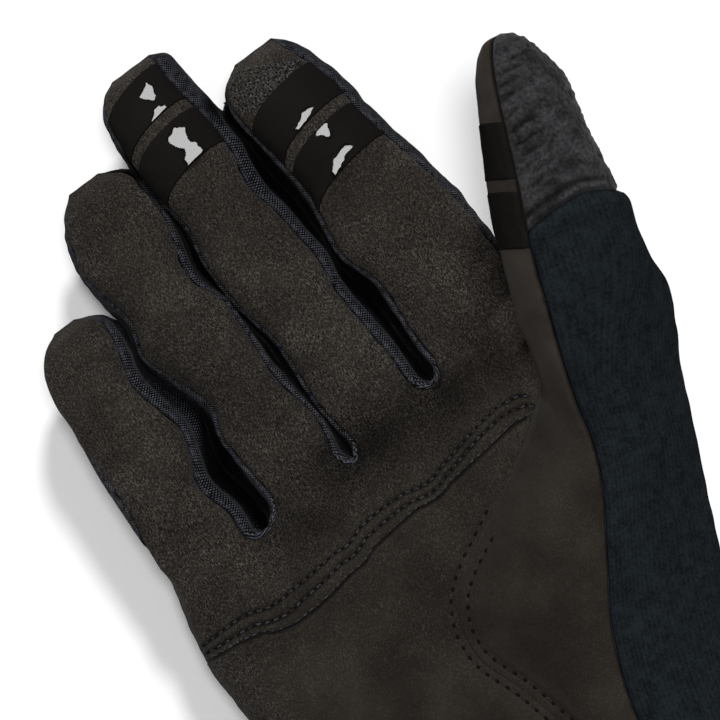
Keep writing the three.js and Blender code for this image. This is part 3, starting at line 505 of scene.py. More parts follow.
# How far up the thumb the terry's hem lies, and the columns on each side of the web
HEM, WEB = 15.5, 8
THUMB_FRONT, THUMB_BACK = 40, 80
TERRY_WALL = 1.4
# The angles round the thumb where the terry's seam at the back, the inner seam and the web lie, and the
# power of its sections
THUMB_BACK_SEAM, THUMB_INNER_SEAM, THUMB_WEB, THUMB_ROUND = -110, 205, 250, 2.15
THUMB_ROWS = table(
    ("along", "left", "right", "up", "down", "seam"),
    (0, -1.22, 1.40, 1.00, 0.98, 122), (0.10, -1.16, 1.34, 0.97, 0.95, 123),
    (0.20, -1.10, 1.24, 0.94, 0.92, 122), (0.30, -1.07, 1.13, 0.90, 0.88, 121),
    (0.42, -1.00, 1.04, 0.84, 0.82, 120), (0.55, -0.90, 0.93, 0.78, 0.76, 121),
    (0.67, -0.82, 0.87, 0.72, 0.70, 122), (0.78, -0.74, 0.80, 0.66, 0.64, 123),
    (0.88, -0.62, 0.56, 0.56, 0.55, 124), (0.95, -0.47, 0.35, 0.43, 0.42, 125),
    (0.985, -0.28, 0.20, 0.26, 0.25, 125), (1, 0, 0, 0, 0, 125))
# How far the hem lies towards the tip, in millimetres, at shares of the way round from the suede's seam
HEM_CURVE = table(("round", "lift"), (0, -3.1), (0.06, -2.0), (0.14, -0.4), (0.23, 0.8), (0.34, 0.3),
                  (0.45, -0.4), (0.65, 0), (1, 0))
PALM_LEFT, PALM_RIGHT = PINKY["front"][0, 0, 0], INDEX["front"][0, -1, 0]
PALM_MIDDLE, PALM_HALF = (PALM_LEFT + PALM_RIGHT) / 2, (PALM_RIGHT - PALM_LEFT) / 2
# The thumb lies beside the palm and above the fingers, by a little clearance
THUMB_BASE = np.array([PALM_MIDDLE + 1.18 * PALM_HALF, 1,
                       FINGER_BASE + (FINGER_DEPTH + THUMB_DEPTH) / 2 + THUMB_LIFT])


def thumb_point(share, across, rise):
    turn = THUMB_TURN * smooth(share / 0.3)
    along = share * THUMB_LENGTH
    x = THUMB_BASE[0] + along * math.sin(THUMB_TURN) + across * np.cos(turn)
    y = THUMB_BASE[1] + along * math.cos(THUMB_TURN) - across * np.sin(turn)
    return stack(x, y, THUMB_BASE[2] + THUMB_RISE * share + rise)


def thumb_grid(share, start, end, count):
    """start and end are angles round each section, which may differ from row to row."""
    row = row_at(THUMB_ROWS, "along", share)
    start, end = np.broadcast_to(start, share.shape), np.broadcast_to(end, share.shape)
    angle = np.radians(lerp(start[:, None], end[:, None], np.linspace(0, 1, count + 1)[None, :]))
    cos, sin = np.cos(angle), np.sin(angle)
    across = np.where(cos < 0, -row["left"][:, None], row["right"][:, None]) * THUMB_WIDTH / 2
    rise = np.where(sin < 0, row["down"][:, None], row["up"][:, None]) * THUMB_DEPTH / 2
    x = np.sign(cos) * np.abs(cos) ** (2 / THUMB_ROUND) * across
    z = np.sign(sin) * np.abs(sin) ** (2 / THUMB_ROUND) * rise
    shift = -0.02 * THUMB_WIDTH * smooth((share - 0.95) / 0.05)[:, None]
    return thumb_point(share[:, None], x + shift, z)


thumb_share = 1 - (1 - np.linspace(0, 1, 100)) ** 1.4
hem_row = int(np.argmin(np.abs(thumb_share - HEM / THUMB_LENGTH)))
thumb_share[hem_row] = HEM / THUMB_LENGTH
thumb_seam = row_at(THUMB_ROWS, "along", thumb_share)["seam"]
thumb_front = thumb_grid(thumb_share, THUMB_INNER_SEAM, thumb_seam, THUMB_FRONT)
thumb_back = thumb_grid(thumb_share, thumb_seam, THUMB_BACK_SEAM, THUMB_BACK)
thumb_inner = thumb_grid(thumb_share, THUMB_WEB, THUMB_INNER_SEAM, SIDE)
tips.append((thumb_front[-1, 0] + SHIFT) * MM)
hem_lift = row_at(HEM_CURVE, "round", np.linspace(0, 1, THUMB_BACK + 1))["lift"] / THUMB_LENGTH
near_hem = bell(thumb_share * THUMB_LENGTH, 7, HEM)
for j in range(THUMB_BACK + 1):
    moved = thumb_share + near_hem * hem_lift[j]
    thumb_back[:, j] = places_at(moved, thumb_share, thumb_back[:, j])
hem_line = (thumb_back[hem_row] + SHIFT) * MM


def towelling():
    """Heathered cotton terry: dry loops about a millimetre across, paler and darker ones mixed, with
    painted shade in its ruckles and beside its hem.
    """
    material, add, shader = new_material("terry towelling", 0.95, 0.1, 0.06)
    place = add("TexCoord", out="Object")
    loops = add("TexNoise", {"Vector": place, "Scale": 1000 / 0.8, "Detail": 3.0, "Roughness": 0.7})
    heather = add("TexNoise", {"Vector": place, "Scale": 1000 / 4, "Detail": 3.0, "Roughness": 0.6})
    base = add("ValToRGB", [loops], stops=((0.32, "#1f1f20"), (0.68, "#3d3c3e")))
    tone = add("ValToRGB", [heather], stops=((0.36, "#868686"), (0.6, "#f2f2f2")))
    # Painted shade from low, multiplied into the terry's colour.
    low = add("Attribute low", out="Fac")
    shade = add("ValToRGB", [low], stops=((0.0, "#ffffff"), (1.0, "#5a5a5a")))
    mottled = add("Mix RGBA MULTIPLY", {0: 0.8, 6: base, 7: tone})
    folded = add("Mix RGBA MULTIPLY", {0: 0.9, 6: mottled, 7: shade})
    relief = add("Bump", {"Height": loops, "Strength": 0.8, "Distance": 0.0003})
    feed(shader, {"Base Color": folded, "Normal": relief})
    return material


def terry_relief(co, away):
    """Loops, slanting ruckles that deepen towards the inner seam, and the rolled hem. Also keeps painted
    shade in the ruckles' troughs and the hem's groove.
    """
    loops = 0.5 * waves_at(co, 0.9) + 0.35 * waves_at(co, 1.8, 3.0)
    slant = (co[:, 1] + 0.2 * co[:, 0]) / MM + 2.0 * waves_at(co, 9, 5.0)
    ruckles = np.cos(slant * math.tau / 2.5) * np.clip(0.5 + 1.6 * waves_at(co, 6, 11.0), 0, 1)
    ruckles *= lerp(1, 0.3, smooth((away - 2.5) / 6))
    hem = distance_to(hem_line, co)
    body = smooth((hem - 3) / 3) * smooth(away / 1.5)
    roll = 0.5 * bell(hem, 0.6, 0.9) - 0.45 * bell(hem, 0.5, 2.4)
    roll = (roll + 0.3 * bell(hem, 0.8, 3.8)) * smooth(away / 0.9)
    roll *= lerp(0.1, 1, smooth((np.max(hem_line[:, 0]) - co[:, 0]) / MM / 6))
    # Painted shade, kept as low: in the troughs of the ruckles and in the groove beside the hem's roll.
    keep_value(thumb_terry, "low", np.clip(-ruckles * body - 0.1, 0, 1) + bell(hem, 0.6, 2.4) * 0.8)
    return loops * smooth(away / 0.6) * 0.5 + 0.26 * ruckles * body + roll - 0.5 * bell(away, 0.5)


thumb_terry = joined("thumb_terry_cloth", [grid("sleeve", thumb_back[hem_row:])])
apply(thumb_terry, "SUBSURF", levels=1, render_levels=1, subdivision_type="SIMPLE")
sculpt(thumb_terry, terry_relief)
finished(thumb_terry, "thumb_terry", towelling(), TERRY_WALL)

# Index side: the satin strip on the index finger's outer side. It runs down into the web and is sewn
# to the thumb's suede, a little fuller than the others, so its outline is bumpy.

PALM_DEPTH, PALM_LENGTH, CUFF_LENGTH, KNUCKLE_FADE = 26, 105, 38, 25
# How deep the web sags towards the wrist, at the index finger's side and at the thumb's
WEB_DEPTH, INDEX_SAG, THUMB_SAG = 8, 1.4, 0.6
v_side = np.linspace(0, 1, SIDE + 1)
web_column = stack(PALM_RIGHT - 3.5 * (1 - v_side), INDEX["start"][1] - WEB_DEPTH,
                   PALM_DEPTH * lerp(0.86, 0.3, v_side))
thumb_start = thumb_inner[0][::-1]


def between(a, b, sag):
    """The columns between two columns of the web, sagging towards the wrist."""
    share = (np.arange(1, WEB) / WEB)[:, None, None]
    made = lerp(a[None], b[None], share)
    made[..., 1] -= sag * np.sin(np.pi * share[..., 0])
    return made


web_index = between(INDEX["right"][0], web_column, INDEX_SAG)
web_thumb = between(web_column, thumb_start, THUMB_SAG)
index_side = joined("index_side_cloth", [grid("index_side", np.concatenate([
    INDEX["right"][::-1], web_index, web_column[None], web_thumb, thumb_start[None]])[::-1])])
sculpt(index_side, lambda co, away: (
    strip_relief(co, away) + 0.6 * waves_at(co, 4.5, 21.0) * smooth(away / 3)))
finished(index_side, "index_side", satin, SATIN_WALL)

# Palm, upper: one suede piece for the front of the four fingers and of the palm above the triple seam.
# Brushed microfibre suede, its lower edge turned and stitched down on the heel in three rows.

HEEL_SEAM = 18.4
# How far in from its outer edge the palm rounds off, as a share of its width, and by what power
PALM_EDGE, PALM_ROUND = 0.34, 2.2
SUEDE_WALL = 1.2
STITCH, STITCH_PITCH, THENAR_STITCH, THENAR_PITCH = 1.2, 1.9, 1.5, 2.5
# Where the curved double row starts, and how far its rows lie to either side of the seam
THENAR_TOP, OUTER_ROW, INNER_ROW = -26, -1.4, 2.0
HAND_ROWS = table(
    ("along", "ulnarX", "ulnarZ", "crownZ", "thenarX", "thenarZ", "moundX", "moundZ", "suedeX", "suedeZ",
     "topX", "topZ", "radialX", "radialZ", "backX", "backZ"),
    (0, -1.00, 0.50, 0.84, 0.93, 0.80, 0.81, 1.24, 1.01, 1.66, 1.21, 1.78, 1.49, 1.20, 1.14, 0.30),
    (0.095, -1.05, 0.50, 0.88, 0.84, 0.88, 0.79, 1.24, 0.93, 1.60, 1.15, 1.70, 1.53, 1.12, 1.13, 0.20),
    (0.18, -1.08, 0.50, 0.93, 0.62, 0.92, 0.76, 1.26, 0.87, 1.52, 1.09, 1.58, 1.43, 1.04, 1.11, 0.12),
    (0.257, -1.08, 0.50, 0.98, 0.34, 0.93, 0.66, 1.28, 0.83, 1.44, 1.03, 1.48, 1.33, 0.96, 1.06, 0.10),
    (0.343, -1.07, 0.50, 1.02, 0.00, 0.95, 0.44, 1.28, 0.75, 1.40, 0.96, 1.42, 1.25, 0.88, 1.00, 0.08),
    (0.457, -1.05, 0.50, 1.06, -0.11, 0.98, 0.22, 1.25, 0.59, 1.35, 0.80, 1.35, 1.14, 0.80, 0.92, 0.08),
    (0.59, -0.99, 0.52, 1.08, -0.03, 1.01, 0.16, 1.19, 0.41, 1.27, 0.63, 1.27, 1.01, 0.75, 0.82, 0.08),
    (0.76, -0.91, 0.55, 1.09, 0.04, 1.07, 0.14, 1.15, 0.28, 1.19, 0.49, 1.21, 0.84, 0.70, 0.67, 0.08),
    (1, -0.83, 0.60, 1.16, 0.05, 1.16, 0.14, 1.18, 0.26, 1.18, 0.40, 1.16, 0.70, 0.66, 0.53, 0.12))
SEAM_SWING = table(("across", "shift"), (0, 0.012), (0.12, 0), (0.28, -0.034), (0.5, -0.006),
                   (0.75, 0.002), (1, 0.024))
# How far above the seam its two upper stitch rows run, in millimetres, at shares of the palm's width
STITCH_LIFT = table(
    ("across", "upper", "middle"), (0, 3.2, 1.6), (0.085, 4.2, 1.8), (0.2, 5.6, 2.6), (0.31, 6.1, 3.2),
    (0.455, 5.2, 2.8), (0.565, 4.9, 2.5), (0.71, 3.7, 1.7), (0.855, 5.0, 3.1), (1, 4.8, 2.4))
# Soft folds of the filled palm: each runs from one place to another in millimetres
FOLDS = table(
    ("x1", "y1", "x2", "y2", "width", "depth"),
    (-14.5, 0, -20, -9, 2.6, 0.8), (-12, 3.5, 4, 2.5, 3.2, 0.5), (9, -2.5, 22, -8, 3.0, 0.45),
    (-40, -6, -30, -12, 3.4, 0.5), (-50, -26, -20, -38, 5.0, 0.25), (24, -3, 28, -14, 3.0, 0.5))
# Where painted shade lies darkest in the palm's hollows: middle, reach across and along, and depth
HOLLOWS = table(
    ("x", "y", "wide", "long", "depth"),
    (-4, -1, 24, 8.5, 1), (13, -4, 10, 8, 0.95), (-27, -8, 13, 8, 0.7), (-12, -36, 20, 17, 0.42))

# Round the hand's top, from the little finger's outer edge over the palm, the thumb and the back
beside = list(zip(FINGERS, slots + [web_index]))
top_front = np.concatenate(
    [part for f, gap in beside for part in (f["front"][0], gap[:, 0])] + [web_column[:1]])
top_thumb = np.concatenate([web_thumb[:, 0], thumb_front[0], thumb_back[0][1:], web_thumb[::-1, -1]])
top_back = np.concatenate(
    [web_column[-1:]] + [part[::-1] for f, gap in beside[::-1] for part in (gap[:, -1], f["back"][0])])


def shares_of(places):
    lengths = running(np.hypot(*np.diff(places[:, :2], axis=0).T))
    return lengths / lengths[-1]


front_shares, back_shares = shares_of(top_front), shares_of(top_back)


def hand_x(share):
    return PALM_MIDDLE + share * PALM_HALF


def rounded(share):
    s = np.clip(share / PALM_EDGE, 0, 1)
    return (1 - (1 - s) ** PALM_ROUND) ** (1 / PALM_ROUND)


def curve_through(knots, t):
    """Centripetal Catmull-Rom curves through knots (rows, knots, 3) at parameters t from 0 to 1."""
    spans = knots.shape[1] - 1
    at = np.asarray(t) * spans
    i = np.minimum(at.astype(int), spans - 1)
    w = (at - i)[None, :, None]
    before, after = 2 * knots[:, :1] - knots[:, 1:2], 2 * knots[:, -1:] - knots[:, -2:-1]
    padded = np.concatenate([before, knots, after], axis=1)
    x0, x1, x2, x3 = (padded[:, i + k] for k in range(4))
    d0, d1, d2 = (np.maximum(np.sum((b - a) ** 2, -1, keepdims=True) ** 0.25, 1e-4)
                  for a, b in ((x0, x1), (x1, x2), (x2, x3)))
    t1 = ((x1 - x0) / d0 - (x2 - x0) / (d0 + d1) + (x2 - x1) / d1) * d1
    t2 = ((x2 - x1) / d1 - (x3 - x1) / (d1 + d2) + (x3 - x2) / d2) * d1
    return x1 + t1 * w + (-3 * x1 + 3 * x2 - 2 * t1 - t2) * w ** 2 + (2 * x1 - 2 * x2 + t1 + t2) * w ** 3


def hand_loops(along, swing, flare=1.0):
    """Front, thumb side and back of the hand's loops. along is a share of the palm's length."""
    along, swing = np.asarray(along, float)[:, None], np.asarray(swing, float)[:, None]
    flare = np.broadcast_to(np.asarray(flare, float), along[:, 0].shape)[:, None, None]

    def at(share):
        down = along - swing * row_at(SEAM_SWING, "across", share)["shift"]
        return row_at(HAND_ROWS, "along", np.minimum(down, 1)), -down * PALM_LENGTH

    right, right_y = at(np.array([1.0]))
    share = front_shares[None, :]
    row, y = at(share)
    crown = lerp(row["crownZ"], row["thenarZ"], smooth(share))
    z = lerp(row["ulnarZ"], crown, rounded(share)) * PALM_DEPTH
    front = stack(hand_x(lerp(row["ulnarX"], right["thenarX"], share)), y, z)
    knots = np.concatenate([
        stack(hand_x(right[k + "X"]), right_y, right[k + "Z"] * PALM_DEPTH)
        for k in ("thenar", "mound", "suede", "top", "radial", "back")], axis=1)
    suede = curve_through(knots, np.linspace(0, 2, THUMB_FRONT + WEB + 1) / 5)
    rest = curve_through(knots, np.linspace(2, 5, THUMB_BACK + WEB + 1) / 5)
    share = back_shares[None, :]
    row, y = at(1 - share)
    lift = row["ulnarZ"] * (1 - rounded(1 - share))
    heel = right["backZ"] * (1 - smooth(share / 0.15))
    back = stack(hand_x(lerp(right["backX"], row["ulnarX"], share)), y, (lift + heel) * PALM_DEPTH)
    loop = np.concatenate([front, suede[:, 1:], rest[:, 1:-1], back], axis=1)
    middle = PALM_DEPTH * 0.6
    loop[..., 0] = PALM_MIDDLE + (loop[..., 0] - PALM_MIDDLE) * flare[..., 0]
    loop[..., 2] = np.maximum(middle + (loop[..., 2] - middle) * flare[..., 0], 0)
    return loop


FRONT_END = len(top_front) - 1
SUEDE_END = FRONT_END + WEB + THUMB_FRONT
THUMB_END = SUEDE_END + THUMB_BACK + WEB
seam_along = HEEL_SEAM / PALM_LENGTH
UPPER, LOWER = 56, 130
hand_along = np.concatenate([
    np.linspace(0, seam_along, UPPER + 1), np.linspace(seam_along, 1, LOWER + 1)[1:]])
swing = np.maximum(1 - np.abs(hand_along - seam_along) / 0.3, 0) * (hand_along > 0)
top_loop = np.concatenate([top_front, top_thumb, top_back])
shift = top_loop - hand_loops([0.0], [0.0])[0]
fade = 1 - smooth(hand_along * PALM_LENGTH / KNUCKLE_FADE)
hand = hand_loops(hand_along, swing) + shift[None] * fade[:, None, None]
hand[0] = top_loop
hand[..., 2] = np.maximum(hand[..., 2], 0)


def line_distance(co, line):
    """How far places in metres lie from a line (points, 2) of the plan, in millimetres, and how far
    along it is the nearest place."""
    flat = co[:, :2] / MM - SHIFT[:2]
    best, where, run = np.full(len(flat), 1e9), np.zeros(len(flat)), 0.0
    for a, b in zip(line[:-1], line[1:]):
        span = np.linalg.norm(b - a)
        t = np.clip((flat - a) @ (b - a) / span ** 2, 0, 1)
        away = np.linalg.norm(flat - a - t[:, None] * (b - a), axis=1)
        nearer = away < best
        best[nearer], where[nearer] = away[nearer], (run + t * span)[nearer]
        run += span
    return best, where


def parallel(line, offset):
    """The line moved sideways in plan."""
    way = np.gradient(line, axis=0)
    way /= np.linalg.norm(way, axis=1)[:, None]
    return line + offset * np.stack([-way[:, 1], way[:, 0]], axis=1)


seam_line = hand[UPPER, :FRONT_END + 1, :2]
lift = row_at(STITCH_LIFT, "across", front_shares)


def seam_row(lift, end):
    """A stitch row that lies lift above the seam, on to its end beside the thumb."""
    return np.concatenate([seam_line + np.stack(np.broadcast_arrays(0, lift), axis=-1), [end]])


seam_rows = (seam_row(lift["upper"], (26.2, -12.6)), seam_row(lift["middle"], (25.6, -14.9)),
             seam_row(0.5, (23.3, -17.0)))
thumb_border = hand[::4, FRONT_END, :2]
thenar_line = hand[:, FRONT_END, :2]
thenar_line = thenar_line[(thenar_line[:, 1] < THENAR_TOP) & (thenar_line[:, 1] > -PALM_LENGTH + 3)][::3]
thenar_rows = (parallel(thenar_line, OUTER_ROW), parallel(thenar_line, INNER_ROW)[1:])
SEWN = [(row, STITCH_PITCH) for row in seam_rows[:2]] + [(row, THENAR_PITCH) for row in thenar_rows]


def suede_relief(co, away):
    """Soft folds, a faint slackness all over, channels pulled in by the stitching, and cut edges that
    turn down into their seams."""
    inside = smooth(away / 3)
    move = 0.45 * waves_at(co, 17) + 0.3 * waves_at(co, 7, 4.0) + 0.1 * waves_at(co, 2.6, 9.0)
    low_down = smooth((62 - co[:, 1] / MM + SHIFT[1]) / 12)
    move = move * inside * lerp(0.3, 1, low_down)
    for x1, y1, x2, y2, width, depth in zip(*FOLDS.values()):
        line = np.array([[x1, y1], [x2, y2]])
        apart = line_distance(co, line)[0] + 1.5 * waves_at(co, 5, 2.0)
        move -= depth * bell(apart, width) * inside
    inland = smooth((line_distance(co, hand[::8, 0, :2])[0] - 0.5) / 2)
    for line, pitch in SEWN:
        apart, where = line_distance(co, line)
        pit = 0.75 + 0.25 * np.cos(where * math.tau / pitch)
        move += (0.14 * bell(apart, 0.6, 1.2) - 0.3 * pit * bell(apart, 0.45)) * inland
    edge = 0.18 * bell(away, 0.8, 1.1) - 0.2 * bell(away, 0.45)
    gather = 0.5 * waves_at(co, 2.8, 1.0) * np.exp(-away / 1.8) * smooth(away / 0.4)
    flush = bell(line_distance(co, thumb_border)[0], 1.8)
    return move + (edge + gather) * (1 - flush)


def sewn_shade(obj):
    """Keeps on the suede how close each place is to a stitch row and how deep it lies in the palm's
    hollow, both for painted shade, and no painted shade at the edge where two suedes lie flush."""
    co = co_of(obj)
    near = [bell(line_distance(co, line)[0], 0.55) for line, pitch in SEWN[:2]]
    keep_value(obj, "sewn", np.max(near, axis=0))
    deep = np.zeros(len(co))
    for x, y, wide, long, depth in zip(*HOLLOWS.values()):
        apart = np.linalg.norm((co[:, :2] / MM - SHIFT[:2] - [x, y]) / [wide, long], axis=1)
        deep = np.maximum(deep, depth * bell(apart, 1))
    keep_value(obj, "hollow", deep)
    away = values_of(obj.data.attributes["edge"].data, "value", 1)
    keep_value(obj, "edge", away + 3 * (line_distance(co, thumb_border)[0] < 1))


def microfibre_suede():
    """Brushed microfibre: short strands lie two ways, so fine pale flecks cross a dark ground, and the
    nap's lie changes in patches. Dry, with almost no sheen. The real strands are too fine to show, so
    the flecks are 0.22 mm wide."""
    material, add, shader = new_material("microfibre suede", 0.95, 0.12, 0.03)
    place = add("TexCoord", out="Object")
    flecks = []
    for turn in (-64, 26):
        lain = {"Vector": place, "Rotation": (0, 0, math.radians(turn)), "Scale": (1, 0.4, 1)}
        flecks.append(add("TexNoise", {
            "Vector": add("Mapping", lain), "Scale": 1000 / 0.22, "Detail": 2.0, "Roughness": 0.7}))
    patches = add("TexNoise", {"Vector": place, "Scale": 1000 / 9, "Detail": 2.0})
    lie = add("MapRange", {"Value": patches, "From Min": 0.4, "From Max": 0.6})
    nap = add("Mix", {0: lie, 2: flecks[0], 3: flecks[1]})
    flecked = add("ValToRGB", [nap], stops=((0.36, "#12110f"), (0.5, "#262320"), (0.68, "#57514b")))
    where = add("SeparateXYZ", [place]).node
    along, height = where.outputs["Y"], where.outputs["Z"]
    rubbed = add("MapRange", {"Value": height, "From Min": 0.0195, "From Max": 0.0262, "To Max": 0.82})
    palm = add("Mix RGBA", {0: rubbed, 6: flecked, 7: colour("#282420")})
    # Painted light: high on the ball and root of the thumb the suede is painted paler, less towards its
    # tip.
    high = add("MapRange", {"Value": height, "From Min": 0.0285, "From Max": 0.035, "To Max": 0.7})
    thumb = add("MapRange", {"Value": along, "From Min": 0.002, "From Max": 0.011})
    tip = add("MapRange", {
        "Value": along, "From Min": 0.036, "From Max": 0.05, "To Min": 1.0, "To Max": 0.3})
    pale = add("Math MULTIPLY", [add("Math MULTIPLY", [high, tip]), thumb])
    base = add("Mix RGBA", {0: pale, 6: palm, 7: colour("#36312d")})
    cloud = add("TexNoise", {"Vector": place, "Scale": 1000 / 14, "Detail": 3.0})
    tone = add("ValToRGB", [cloud], stops=((0.35, "#c4c4c4"), (0.62, "#ffffff")))
    brushed = add("Mix RGBA MULTIPLY", {0: 0.85, 6: base, 7: tone})
    # Painted shade: darker at cut edges, along the seam's upper stitch rows and in the palm's hollows.
    edge_shade = add("MapRange", {"Value": add("Attribute edge", out="Fac"), "From Min": 0.7, "From Max": 0.1})
    seams = add("Math MAXIMUM", [add("Attribute sewn", out="Fac"), edge_shade])
    hollow = add("Math MULTIPLY", [add("Attribute hollow", out="Fac"), 0.94])
    dark = add("Math MAXIMUM", [seams, hollow])
    shade_tint = add("ValToRGB", [dark], stops=((0.0, "#ffffff"), (1.0, "#8c8c8c")))
    # The suede's colour with the painted shade multiplied in.
    darkened = add("Mix RGBA MULTIPLY", {0: 1.0, 6: brushed, 7: shade_tint})
    rough = add("Math MULTIPLY_ADD", [rubbed, -0.75, 0.7])
    relief = add("Bump", {"Height": nap, "Strength": rough, "Distance": 0.0002})
    feed(shader, {"Base Color": darkened, "Normal": relief})
    return material


suede = microfibre_suede()


def suede_panel(node, grids, *relaxings):
    """A suede piece of these grids, evened out by each relaxing, a number of times and a weight."""
    panel = joined(node + "_cloth", grids)
    for relaxing in relaxings:
        relax(panel, *relaxing)
    sculpt(panel, suede_relief)
    sewn_shade(panel)
    return finished(panel, node, suede, SUEDE_WALL)


palm_upper = suede_panel(
    "palm_upper",
    [grid(f["name"], f["front"]) for f in FINGERS] + [
        grid("palm", hand[:UPPER + 1, :FRONT_END + 1][::-1])],
    (6,), (90, lambda y: smooth((4 - y) / 5)))

# Palm, heel: the same suede from the triple seam down to the wrist, joined to the thumb's suede by the
# curved double row round the ball of the thumb.

palm_heel = suede_panel("palm_heel", [grid("heel", hand[UPPER:, :FRONT_END + 1][::-1])], (10,))

# Thumb, front: suede over the ball of the thumb, the thumb's pad and round to its inner side, cut to
# the curved seam.

thumb_suede = suede_panel(
    "thumb_front",
    [grid("mound", hand[:, FRONT_END:SUEDE_END + 1][::-1]), grid("pad", thumb_front),
     grid("inner", thumb_inner)],
    (60, lambda y: bell(y, 9, 2)))

# Thumb, back: blue-black stretch jersey from the terry's hem down the thumb's side of the hand. It
# swells below the tight hem and shows faint ribs along the hand.

STRETCH_WALL = 1.1


def stretch_jersey(name, dark, light):
    """Fine ribbed polyester knit, matt and slightly uneven, with a cold blue cast."""
    material, add, shader = new_material(name, 0.9, 0.1, 0.0)
    place = add("TexCoord", out="Object")
    ribs = add("SeparateXYZ", [add("TexCoord", out="UV")], out="X")
    wave = add("Math SINE", [add("Math MULTIPLY", [ribs, math.tau / (1.3 * MM)])])
    rib = add("MapRange", {"Value": wave, "From Min": -1.0, "From Max": 1.0, "To Max": 0.14})
    loops = add("TexNoise", {"Vector": place, "Scale": 1000 / 0.6, "Detail": 2.0, "Roughness": 0.6})
    uneven = add("TexNoise", {"Vector": place, "Scale": 1000 / 3, "Detail": 3.0, "Roughness": 0.6})
    level = add("Math ADD", [add("Math ADD", [loops, uneven]), rib])
    base = add("ValToRGB", [add("Math MULTIPLY", [level, 0.5])], stops=((0.4, dark), (0.66, light)))
    relief = add("Bump", {"Height": level, "Strength": 0.5, "Distance": 0.00015})
    feed(shader, {"Base Color": base, "Normal": relief})
    return material


def jersey_relief(co, away):
    """Slack all over, a swell below the hem, and edges drawn into their seams."""
    slack = (0.35 * waves_at(co, 12, 6.0) + 0.2 * waves_at(co, 4.5, 8.0)) * smooth(away / 3)
    hem = distance_to(hem_line, co)
    swell = 0.7 * bell(hem, 2.2, 2.6) * smooth(hem / 1.2)
    edge = 0.12 * bell(away, 0.8, 1.2) - 0.4 * bell(away, 0.5)
    return slack + swell + edge


thumb_stretch = joined("thumb_back_cloth", [
    grid("side", hand[:, SUEDE_END:THUMB_END + 1][::-1]), grid("lower", thumb_back[:hem_row + 1])])
relax(thumb_stretch, 90, lambda y: bell(y, 9, 1))
sculpt(thumb_stretch, jersey_relief)
jersey = stretch_jersey("stretch jersey", "#0f1214", "#1b2023")
finished(thumb_stretch, "thumb_back", jersey, STRETCH_WALL)

# Back: the same jersey behind the hand and the four fingers, in one piece. The photo doesn't show it, so
# it is finished plainly, flat where the glove rests on it. A narrow satin binding shows along the little
# finger's outer edge, where it is sewn over the suede.

back_panel = joined(
    "back_panel_cloth",
    [grid(f["name"] + "_back", f["back"][:, ::-1]) for f in FINGERS] + [
        grid("back", hand[::2, THUMB_END:][::-1])])
relax(back_panel, 30)
sculpt(back_panel, lambda co, away: -0.2 * bell(away, 0.5))
finished(back_panel, "back_panel", jersey, STRETCH_WALL)

BINDING_START, BINDING_END, BINDING_WIDTH, BINDING_WALL = 8.5, 37.0, 1.3, 0.25
pinky_skin = PINKY["front"]
pinky_skin = pinky_skin[(pinky_skin[:, 0, 1] > BINDING_START) & (pinky_skin[:, 0, 1] < BINDING_END)]
binding_share = (pinky_skin[:, 0, 1] - BINDING_START) / (BINDING_END - BINDING_START)
binding_width = BINDING_WIDTH * np.sin(np.pi * binding_share) ** 0.6 + 0.12
binding_taper = lerp(0.06, 1, smooth(4 * np.minimum(binding_share, 1 - binding_share)))
column = np.arange(FRONT + 1)
binding_rows = []
for line, width, taper in zip(pinky_skin, binding_width, binding_taper):
    reach = np.interp(width, line[:, 0] - line[0, 0], column) * taper
    binding_rows.append(places_at(reach * np.linspace(0, 1, 9), column, line))
binding_rows = np.array(binding_rows)
outward = np.cross(np.gradient(binding_rows, axis=1), np.gradient(binding_rows, axis=0))
outward /= np.linalg.norm(outward, axis=2, keepdims=True)
stand = 0.02 + 0.3 * np.sin(np.pi * binding_share)[:, None, None] ** 0.7
binding = grid("pinky_binding", binding_rows + outward * stand)
finished(binding, None, satin, BINDING_WALL)

# Cuff: a tube knitted in ribs from an elastic yarn and sewn round the wrist. At its open end it is turned
# in and sewn down as a firmer welt.

# How far up from the cuff's end its turned welt reaches, and where the ribs above it start
WELT, RIB_START = 6.5, 6
CUFF_WALL, RIB, CUFF_ROWS = 1.5, 2.2, 48
cuff_share = np.linspace(0, 1, CUFF_ROWS)
cuff = hand_loops(np.ones(CUFF_ROWS), np.zeros(CUFF_ROWS), 1 + 0.05 * cuff_share)
cuff[..., 1] = (-PALM_LENGTH - cuff_share * CUFF_LENGTH)[:, None]
cuff_tube = joined("cuff_cloth", [grid("cuff", np.concatenate([cuff, cuff[:, :1]], axis=1)[::-1])])


def rib_relief(co, away):
    """Ribs along the tube, the welt at its end, and little of either where the cuff rests."""
    mesh = cuff_tube.data
    u = np.zeros(len(co))
    u[values_of(mesh.loops, "vertex_index", 1)] = values_of(mesh.uv_layers[0].data, "uv", 2)[:, 0] / MM
    end = y_of(co) + PALM_LENGTH + CUFF_LENGTH
    welt = 0.5 * smooth((WELT - end) / 0.6) - 0.3 * bell(end, 0.5, WELT)
    ribs = 0.28 * np.cos(u * math.tau / RIB) * smooth(away / 1.5) * smooth((end - RIB_START) / 1.5)
    up = smooth((co[:, 2] / MM - 0.6) / 1.5)
    return (ribs + welt * 0.6) * up - 0.35 * bell(away, 0.5) * (end > 10)


sculpt(cuff_tube, rib_relief)
knit = stretch_jersey("rib knit", "#0b0c0e", "#1f2124")
finished(cuff_tube, "cuff", knit, CUFF_WALL)

# Silicone bars: two on the tips of middle and index finger and two on the thumb's pad, printed thick
# on the suede. The wet print drew up unevenly, so its gloss breaks into hard-edged glints.

FINGER_BAR, THUMB_BAR, BAR_SPACE, BAR_WALL = 9.5, 11.5, 2.4, 0.45
# How far below the finger's or thumb's tip the upper bar ends
MIDDLE_BARE, INDEX_BARE, THUMB_BARE = 7.5, 14.5, 18.2
# From how far above the cloth a bar's places are let down on it, and how far at most
PROBE, PROBE_REACH = 1.3, 2.6
EYE = np.array([2.8, 14.3, 720.0])
GLINT_WAY = np.array([0.034, 0.31, 1.0])
